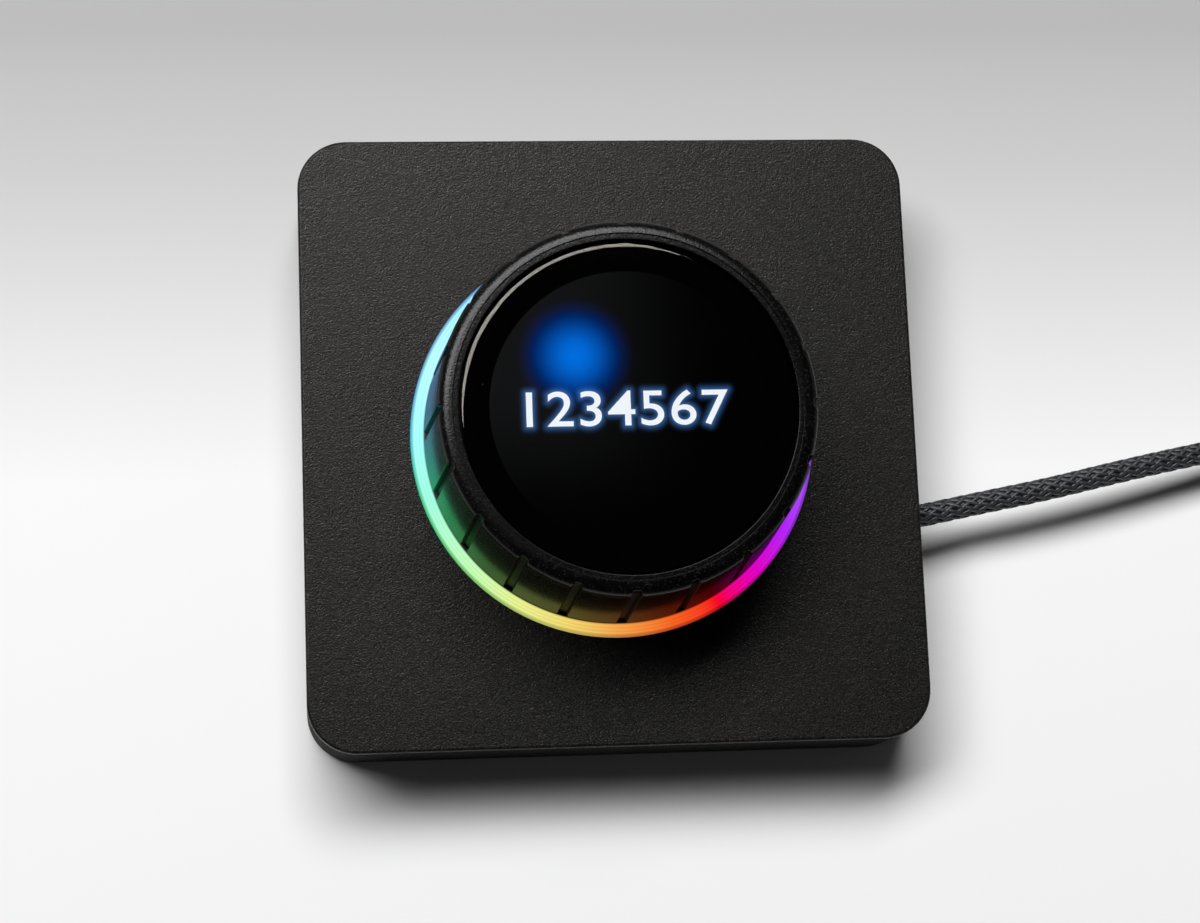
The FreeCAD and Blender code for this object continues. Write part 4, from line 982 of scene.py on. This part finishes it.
def makeKnob(v):
    smoothWall(knobBlack, v)
    piece = turned("knobShell", knobOutline(v), knobBlack, {
        "Groove Count": v["grooveCount"], "Steps A Groove": v["grooveSteps"],
        "Groove Width": v["grooveWidth"] * mm, "Floor Width": v["floorWidth"] * mm,
        "Groove Depth": v["grooveDepth"] * mm, "Floor Share": v["floorSteps"] / v["grooveSteps"],
        "Side Share": v["sideSteps"] / v["grooveSteps"], "Low": v["bottom"] * mm, "High": v["top"] * mm,
        "Low Radius": (v["bottomRadius"] + wallSlope(v) * (v["wallLow"] - v["bottom"])) * mm,
        "High Radius": (v["wallTop"] - wallSlope(v) * (v["top"] - v["wallHigh"])) * mm,
    })
    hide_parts("knob_shell")
    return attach(piece, "knob")


knobShell = makeKnob(knobValues)
print("knob shell:", len(knobShell.data.polygons), "faces")


# the cover glass, flat in the middle and softly curved down at its edge

glassValues = {
    "radius": 19.29,
    "bottom": 31.235,
    "top": 32.5,
    "flat": 18.6,
    "curve": 2.2,
    "curveSteps": 14,
    "edgeDrop": 0.05,
    "chamfer": 0.1,
    "steps": 360,
    "colour": (0.93, 0.94, 0.95, 1),
    "roughness": 0.015,
    "ior": 1.34,
    "tint": (1.0, 0.93, 0.86, 1),
    "inkRadius": 19.33,
    "inkInner": 17.8,
    "inkBottom": 31.205,
    "inkThick": 0.02,
    "inkTop": 32.3,
    "inkGap": 0.01,
}


def makeGlass(v):
    span = math.asin((v["radius"] - v["flat"]) / v["curve"])
    angles = [span * i / v["curveSteps"] for i in range(v["curveSteps"] + 1)]
    outline = [(0, v["top"])] + [(v["flat"] + v["curve"] * math.sin(a),
                                  v["top"] - v["curve"] * (1 - math.cos(a))) for a in angles]
    outline += [(v["radius"], outline[-1][1] - v["edgeDrop"]), (v["radius"], v["bottom"] + v["chamfer"]),
                (v["radius"] - v["chamfer"], v["bottom"]), (0, v["bottom"])]
    material = newMaterial("coverGlass", {
        "Base Color": v["colour"], "Roughness": v["roughness"], "IOR": v["ior"],
        "Transmission Weight": 1.0, "Specular Tint": v["tint"]})[0]
    piece = dress(tidied(spun("coverGlass", outline, v["steps"]), 30, 1e-8), material)
    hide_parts("cover_glass")
    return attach(piece, "head")


def makeInk(v):
    # black print under the glass's border and on its side
    low, high, side = v["inkBottom"], v["inkTop"], v["radius"] + v["inkGap"]
    lid = low + v["inkThick"]
    outline = [(v["inkInner"], low), (v["inkRadius"], low), (v["inkRadius"], high), (side, high),
               (side, lid), (v["inkInner"], lid)]
    black = surface("glassPrint", "moulded", {
        "Colour": (0.0006, 0.0006, 0.0006), "Speckle Share": 0.0, "Grain Depth": 0.0, "Roughness": 0.8,
    }, {"Specular IOR Level": 0.0})
    piece = turned("glassPrint", outline, black)
    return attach(piece, "head")


coverGlass = makeGlass(glassValues)
glassInk = makeInk(glassValues)


# the digits, lit shapes on the display

digitValues = {
    "text": "1234567",
    "centre": (-0.16, -0.15),
    "width": 23.4,
    "height": 4.15,
    "bold": 0.004,
    "spacing": 1.06,
    "low": 31.2,
    "thick": 0.014,
    "colour": (0.93, 0.97, 1.0, 1),
    "base": (0.01, 0.01, 0.012, 1),
    "roughness": 0.35,
    "haloReach": 1.1,
}


def makeDigits(v):
    text = bpy.data.curves.new("digits", "FONT")
    text.body, text.offset, text.space_character, text.resolution_u = v["text"], v["bold"], v["spacing"], 8
    source = addObject("digitsText", text)
    flat = evaluated(source)
    dropObject(source)
    xs, ys = zip(*[vertex.co[:2] for vertex in flat.vertices])
    across = v["width"] / (max(xs) - min(xs))
    tall = v["height"] / (max(ys) - min(ys))
    middle = ((max(xs) + min(xs)) / 2, (max(ys) + min(ys)) / 2)
    for vertex, x, y in zip(flat.vertices, xs, ys):
        vertex.co = Vector((v["centre"][0] + (x - middle[0]) * across,
                            v["centre"][1] + (y - middle[1]) * tall, v["low"])) * mm
    work = bmesh.new()
    work.from_mesh(flat)
    bpy.data.meshes.remove(flat)
    bmesh.ops.remove_doubles(work, verts=work.verts, dist=1e-7)
    lifted = bmesh.ops.extrude_face_region(work, geom=list(work.faces))
    up = [g for g in lifted["geom"] if isinstance(g, bmesh.types.BMVert)]
    bmesh.ops.translate(work, verts=up, vec=(0, 0, v["thick"] * mm))
    mesh = bpy.data.meshes.new("digits")
    work.to_mesh(mesh)
    work.free()
    material = newMaterial("digitsLit", {
        "Base Color": v["base"], "Roughness": v["roughness"], "Emission Color": v["colour"],
        "Emission Strength": 1.0})[0]
    piece = dress(tidied(addObject("digits", mesh), 30), material)
    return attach(piece, "head")


digits = makeDigits(digitValues)


# the display: black border, a faint grey glow over the screen's upper left that fades out towards the lower
# right and over the blue disc, a blue disc, and a halo round the digits

displayValues = {
    "radius": 18.0,
    "bottom": 29.7,
    "top": 31.2,
    "screen": 16.07,
    "screenEdge": 0.06,
    "rings": 72,
    "steps": 288,
    "discCentre": (-6.0, 6.1),
    "discReach": 7.8,
    "discFall": (4.6, 3.9),
    "disc": (0.168, 0.78),
    "discCover": (4.6, 6.2),
    "grey": (0.0068, 0.0072, 0.0075),
    "fadeAcross": (-0.010, 0.011, 1.0, 0.03),
    "fadeUp": (-0.014, 0.004, 0.04, 1.0),
    "halo": (0.04, 0.12, 0.31),
    "haloPower": 3,
    "border": (0.0002, 0.0002, 0.0002, 1),
    "panel": (0.0001, 0.0001, 0.0001, 1),
    "speck": (0.12, 0.12, 0.12, 1),
    "speckScale": 420.0,
    "speckSize": 0.035,
    "speckFrom": 0.86,
}


def displayMaterial(v):
    material, shader, place = newMaterial("displayLit", {
        "Emission Strength": 1.0, "Specular IOR Level": 0.0})
    x, y = separate(place)[:2]
    cx, cy = v["discCentre"]
    away = vectorMath("DISTANCE", combine(x, y, 0.0), (cx * mm, cy * mm, 0.0), "Value")
    swell = spread(away * away, 0.0, (v["discReach"] * mm) ** 2, 1.0, 0.0)
    green, blue = [reckon("POWER", swell, fall) * strength
                   for fall, strength in zip(v["discFall"], v["disc"])]
    start, end = v["discCover"]
    clear = spread(away, start * mm, end * mm, 0.0, 1.0, True)
    fade = spread(x, *v["fadeAcross"], True) * spread(y, *v["fadeUp"], True)
    onScreen = spread(lengthOf(x, y), (v["screen"] - v["screenEdge"]) * mm,
                      (v["screen"] + v["screenEdge"]) * mm, 1.0, 0.0)
    grey = scaled(v["grey"], fade * clear * onScreen)
    disc = scaled(combine(0.0, green, blue), onScreen)
    halo = node(place.tree, "ShaderNodeAttribute", output="Fac", attribute_name="halo")
    light = vectorMath("ADD", vectorMath("ADD", grey, disc), scaled(v["halo"], halo))
    dust, own = cells(place, v["speckScale"])
    specks = reckon("GREATER_THAN", own, v["speckFrom"]) * reckon("LESS_THAN", dust, v["speckSize"])
    colour = mixColours(specks, mixColours(onScreen, v["border"], v["panel"]), v["speck"])
    rough = spread(noise(place, 900.0), 0.3, 0.7, 0.28, 0.36)
    for label, value in (("Base Color", colour), ("Roughness", rough), ("Emission Color", light)):
        feed(value, shader[label])
    return material


def makeDisplay(v, lettering, reach):
    rings = [(v["radius"] * (i + 1) / v["rings"], v["top"]) for i in range(v["rings"])]
    outline = [(0, v["top"]), *rings, (v["radius"], v["bottom"])]
    piece = tidied(spun("displayModule", outline, v["steps"], filled=True), 30, 1e-8)
    tree = BVHTree.FromObject(lettering, bpy.context.evaluated_depsgraph_get())
    halo = []
    for vertex in piece.data.vertices:
        distance = tree.find_nearest(vertex.co, reach)[3]
        halo.append(0.0 if distance is None else max(0.0, 1 - distance / reach) ** v["haloPower"])
    attribute = piece.data.attributes.new("halo", "FLOAT", "POINT")
    attribute.data.foreach_set("value", halo)
    dress(piece, displayMaterial(v))
    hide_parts("display_module")
    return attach(piece, "head")


display = makeDisplay(displayValues, digits, digitValues["haloReach"] * mm)
print("display:", len(display.data.polygons), "faces, digits", len(digits.data.polygons))


# the lit ring: colour by the angle round the ring, deeper towards its outer edge

ringValues = {
    "outer": 24.5,
    "shadeTo": 23.05,
    "shadeWidth": 0.25,
    # angle in degrees and the light's colour there, from yellow at the front round to violet at the back
    "colours": [
        (-180, (0.31, 1.0, 0.95)),
        (-163, (0.31, 1.0, 0.74)),
        (-137, (0.55, 1.0, 0.45)),
        (-120, (0.84, 0.90, 0.26)),
        (-105, (0.92, 0.70, 0.16)),
        (-90, (0.96, 0.38, 0.07)),
        (-75, (0.98, 0.14, 0.015)),
        (-60, (1.0, 0.0, 0.015)),
        (-45, (0.80, 0.0, 0.60)),
        (-30, (0.46, 0.01, 0.98)),
        (0, (0.32, 0.08, 0.95)),
        (60, (0.10, 0.12, 0.95)),
        (110, (0.05, 0.30, 0.98)),
        (133, (0.30, 0.80, 1.0)),
        (155, (0.43, 1.0, 1.0)),
    ],
    # what the ring sheds on its surroundings, deeper than what the eye sees in it, with its strength
    "shed": [
        (-180, (0.0, 0.80, 1.0), 0.40),
        (-165, (0.0, 1.0, 0.40), 0.75),
        (-150, (0.06, 1.0, 0.28), 0.62),
        (-135, (0.32, 1.0, 0.20), 0.38),
        (-120, (0.74, 1.0, 0.26), 0.34),
        (-105, (1.0, 0.84, 0.18), 0.30),
        (-90, (1.0, 0.38, 0.10), 0.28),
        (-75, (1.0, 0.11, 0.02), 0.22),
        (-60, (1.0, 0.0, 0.02), 0.15),
        (-45, (0.80, 0.0, 0.60), 0.2),
        (-30, (0.40, 0.0, 1.0), 0.2),
        (60, (0.05, 0.10, 1.0), 0.3),
        (135, (0.0, 0.36, 1.0), 0.3),
        (168, (0.0, 0.48, 1.0), 0.36),
    ],
    "edgeWidth": 0.48,
    "edgeGain": 0.5,
    "lineStep": 0.42,
    "lineSwing": 0.14,
    "base": (0.03, 0.03, 0.03, 1),
}


def colourRamp(share, stops):
    # stops are (place, colour), from place 0 to place 1
    tree = share.tree
    ramp = tree.nodes.new("ShaderNodeValToRGB")
    feed(share, ramp.inputs[0])
    made = ramp.color_ramp.elements
    made[0].color, made[1].color = (*stops[0][1], 1), (*stops[-1][1], 1)
    for place, colour in stops[1:-1]:
        made.new(place).color = (*colour, 1)
    return Value(tree, ramp.outputs[0])


def roundTheRing(share, colours):
    # the last colour joins the first
    stops = [((angle + 180) / 360, colour) for angle, colour in colours]
    return colourRamp(share, stops + [(1.0, stops[0][1])])


def ringMaterial(v):
    material, shader, place = newMaterial("ringLit", {"Emission Strength": 1.0, "Base Color": v["base"]})
    x, y = separate(place)[:2]
    radius = lengthOf(x, y)
    share = spread(reckon("ARCTAN2", y, x), -math.pi, math.pi)
    core = roundTheRing(share, v["colours"])
    shed = roundTheRing(share, [(angle, colour) for angle, colour, strength in v["shed"]])
    spill = roundTheRing(share, [(angle, [strength] * 3) for angle, colour, strength in v["shed"]])
    edge = spread(radius, (v["outer"] - v["edgeWidth"]) * mm, v["outer"] * mm, 0.0, 1.0, True)
    seen = mixColours(edge, core, scaled(shed, v["edgeGain"]))
    lines = reckon("SINE", radius * (2 * math.pi / (v["lineStep"] * mm)))
    gain = spread(lines, -1.0, 1.0, 1.0 - v["lineSwing"], 1.0)
    # painted shade: the ring's light dims towards its inner edge, in the gap under the knob's skirt
    gain = gain * spread(radius, (v["shadeTo"] - v["shadeWidth"]) * mm, v["shadeTo"] * mm, 0.0, 1.0, True)
    # the camera sees the core, and what lies round the ring is lit by what it sheds
    path = node(place.tree, "ShaderNodeLightPath", output="Is Diffuse Ray")
    others = reckon("MAXIMUM", path, path.beside("Is Glossy Ray"))
    boost = gain * reckon("MULTIPLY_ADD", others, spill - 1.0, 1.0)
    feed(scaled(mixColours(others, seen, shed), boost), shader["Emission Color"])
    feed(spread(noise(place, 2500.0), 0.3, 0.7, 0.4, 0.5), shader["Roughness"])
    return material


# finishes of the pieces that keep their CAD shape

def metal(colour, roughness=0.3, lathe=1.0, metallic=1.0, coat=0.0, more=None):
    values = {"Colour": colour, "Roughness": roughness, "Turned": lathe, **(more or {})}
    return "tooled", values, {"Metallic": metallic, "Coat Weight": coat}


def plastic(colour, roughness=0.55, more=None, specular=None):
    values = {"Speckle Share": 0.25, "Grain Size": 0.14 * mm, "Grain Depth": 0.008 * mm,
              "Colour": colour, "Roughness": roughness, **(more or {})}
    return "moulded", values, {} if specular is None else {"Specular IOR Level": specular}


def grey(tone):
    return (tone, tone, tone)


finishes = {
    "shell_black": plastic((0.009, 0.0088, 0.0086), 0.55, {
        "Grain Size": 0.22 * mm, "Speckle": (0.04, 0.039, 0.038), "Grain Depth": 0.02 * mm}, 0.015),
    "plate_black": ("leather", {
        "Colour": (0.0075, 0.0073, 0.0071), "Warm": (0.0105, 0.0094, 0.0088), "Pebble Size": 0.2 * mm,
        "Pebble Depth": 0.036 * mm, "Roughness": 0.3, "Roughness Swing": 0.25, "Tone Swing": 1.5,
    }, {"Specular IOR Level": 0.17, "Specular Tint": (1.0, 0.97, 0.94, 1.0)}),
    "foot_rubber": plastic(grey(0.028), 0.8),
    "screw_steel": metal((0.30, 0.30, 0.31), 0.35, 0.0),
    "ballast_steel": metal(grey(0.50), 0.3, 0.0),
    "circuit_board": ("board", {}, {"Coat Weight": 0.3}),
    "white_board": ("board", {"Colour": (0.72, 0.72, 0.70), "Track": (0.80, 0.80, 0.78)}, {}),
    "chip_black": plastic(grey(0.03), 0.45),
    "socket_plastic": plastic((0.70, 0.67, 0.57), 0.4, {"Speckle": (0.8, 0.77, 0.67)}),
    "flex_film": plastic((0.50, 0.24, 0.05), 0.3, {"Speckle": (0.6, 0.3, 0.1)}),
    "switch_steel": metal(grey(0.60), 0.3, 0.0),
    "led_white": plastic((0.80, 0.80, 0.74), 0.3, {"Speckle": (0.9, 0.9, 0.8)}),
    "gland_rubber": plastic(grey(0.022), 0.7),
    "clamp_plastic": plastic(grey(0.06), 0.5),
    "plug_steel": metal((0.62, 0.62, 0.63), 0.25, 0.0),
    "liner_plastic": plastic(grey(0.02), 0.45),
    "contact_gold": metal((0.83, 0.60, 0.25), 0.2, 0.0),
    "plate_aluminium": metal((0.70, 0.70, 0.71)),
    "housing_aluminium": metal((0.66, 0.66, 0.67), 0.35),
    "post_aluminium": metal((0.70, 0.70, 0.71)),
    "bell_aluminium": metal((0.07, 0.07, 0.075), 0.38, 1.0, 0.8),
    "core_steel": metal((0.20, 0.20, 0.21), 0.45, 1.0, 0.9, more={
        "Line Size": 0.35 * mm, "Line Depth": 0.04 * mm}),
    "copper_wire": metal((0.72, 0.30, 0.12), 0.3, 1.0, 0.9, 0.5, more={
        "Line Size": 0.3 * mm, "Line Depth": 0.06 * mm}),
    "bearing_steel": metal((0.70, 0.70, 0.71), 0.18),
    "ball_steel": metal((0.78, 0.78, 0.79), 0.08, more={
        "Line Depth": 0.0005 * mm, "Roughness Swing": 0.05}),
    "cage_brass": metal((0.70, 0.53, 0.24)),
    "spacer_brass": metal((0.75, 0.58, 0.28)),
    "carrier_plastic": plastic(grey(0.012), 0.6, {"Speckle Share": 0.05}),
    "plunger_plastic": plastic(grey(0.05)),
    "spring_steel": metal((0.55, 0.55, 0.56), 0.3, 0.0),
    "magnet_nickel": metal((0.60, 0.58, 0.54), 0.25),
}


def finishNodes():
    made = {slot: surface("finish_" + slot, *finish) for slot, finish in finishes.items()}
    made.update({"plug_plastic": plugBlack, "knob_black": knobBlack, "cable_braid": cableBraid,
                 "ring_lit": ringMaterial(ringValues)})
    left = []
    for name, piece in nodes.items():
        if piece.hide_render:
            continue
        # the record's slot of a CAD node is the name of the material that it came with
        slot = piece.material_slots[0].material.name.split(".")[0]
        if slot not in made:
            left.append((name, slot))
            continue
        for holder in piece.material_slots:
            holder.material = made[slot]
    print("nodes finished, left:", left)


finishNodes()


# floor, backdrop and light

stageValues = {
    # radii in millimetres
    "rings": (0, 300, 1000, 3000),
    "steps": 64,
    # distance behind the middle in metres, and the floor's tone there: painted shade, darker towards the back
    "shadeTones": [(-0.058, 0.86), (-0.020, 0.88), (-0.002, 0.885), (0.0135, 0.77), (0.026, 0.665),
              (0.0385, 0.57), (0.051, 0.50), (0.057, 0.455), (0.12, 0.40)],
    "roughness": 0.9,
    "specular": 0.1,
}

lightValues = {
    "keyWay": (-0.25, 0.53, 1.0),
    "keyDistance": 2.0,
    "keyWidth": 1.9,
    "keyHeight": 0.68,
    "keyTurn": 24.0,
    "keyPower": 55.2,
    "horizon": 0.45,
    "zenith": 0.012,
    "dusk": (0.04, 0.5),
    # the room behind the camera is darker
    "frontSpan": (-0.6, 0.2),
    "frontShare": 0.45,
}


def makeFloor(v):
    floor = spun("floor", [(r, 0) for r in v["rings"]], v["steps"])
    material, shader, place = newMaterial("paperFloor", {
        "Roughness": v["roughness"], "Specular IOR Level": v["specular"]})
    # painted shade: the floor's colour darkens towards the back, where the light falls off
    low, high = v["shadeTones"][0][0], v["shadeTones"][-1][0]
    stops = [((y - low) / (high - low), [tone] * 3) for y, tone in v["shadeTones"]]
    tone = colourRamp(spread(separate(place)[1], low, high), stops)
    feed(tone, shader["Base Color"])
    dress(floor, material)


def makeLight(v):
    data = bpy.data.lights.new("key", "AREA")
    data.shape = "RECTANGLE"
    data.size, data.size_y, data.energy = v["keyWidth"], v["keyHeight"], v["keyPower"]
    way = Vector(v["keyWay"]).normalized()
    turn = math.radians(v["keyTurn"])
    side = Vector((math.cos(turn), math.sin(turn), 0))
    side = (side - way * side.dot(way)).normalized()
    facing = Matrix((side, way.cross(side), way)).transposed().to_4x4()
    addObject("key", data).matrix_world = Matrix.Translation(way * v["keyDistance"]) @ facing
    world = bpy.data.worlds.new("studio")
    bpy.context.scene.world = world
    world.use_nodes = True
    tree = world.node_tree
    y, z = separate(node(tree, "ShaderNodeTexCoord", output="Generated"))[1:]
    tone = spread(z, *v["dusk"], v["horizon"], v["zenith"], True)
    tone = tone * spread(y, *v["frontSpan"], v["frontShare"], 1.0, True)
    feed(combine(tone, tone, tone), tree.nodes["Background"].inputs["Color"])


makeFloor(stageValues)
makeLight(lightValues)
bpy.context.scene.view_settings.view_transform = "Standard"
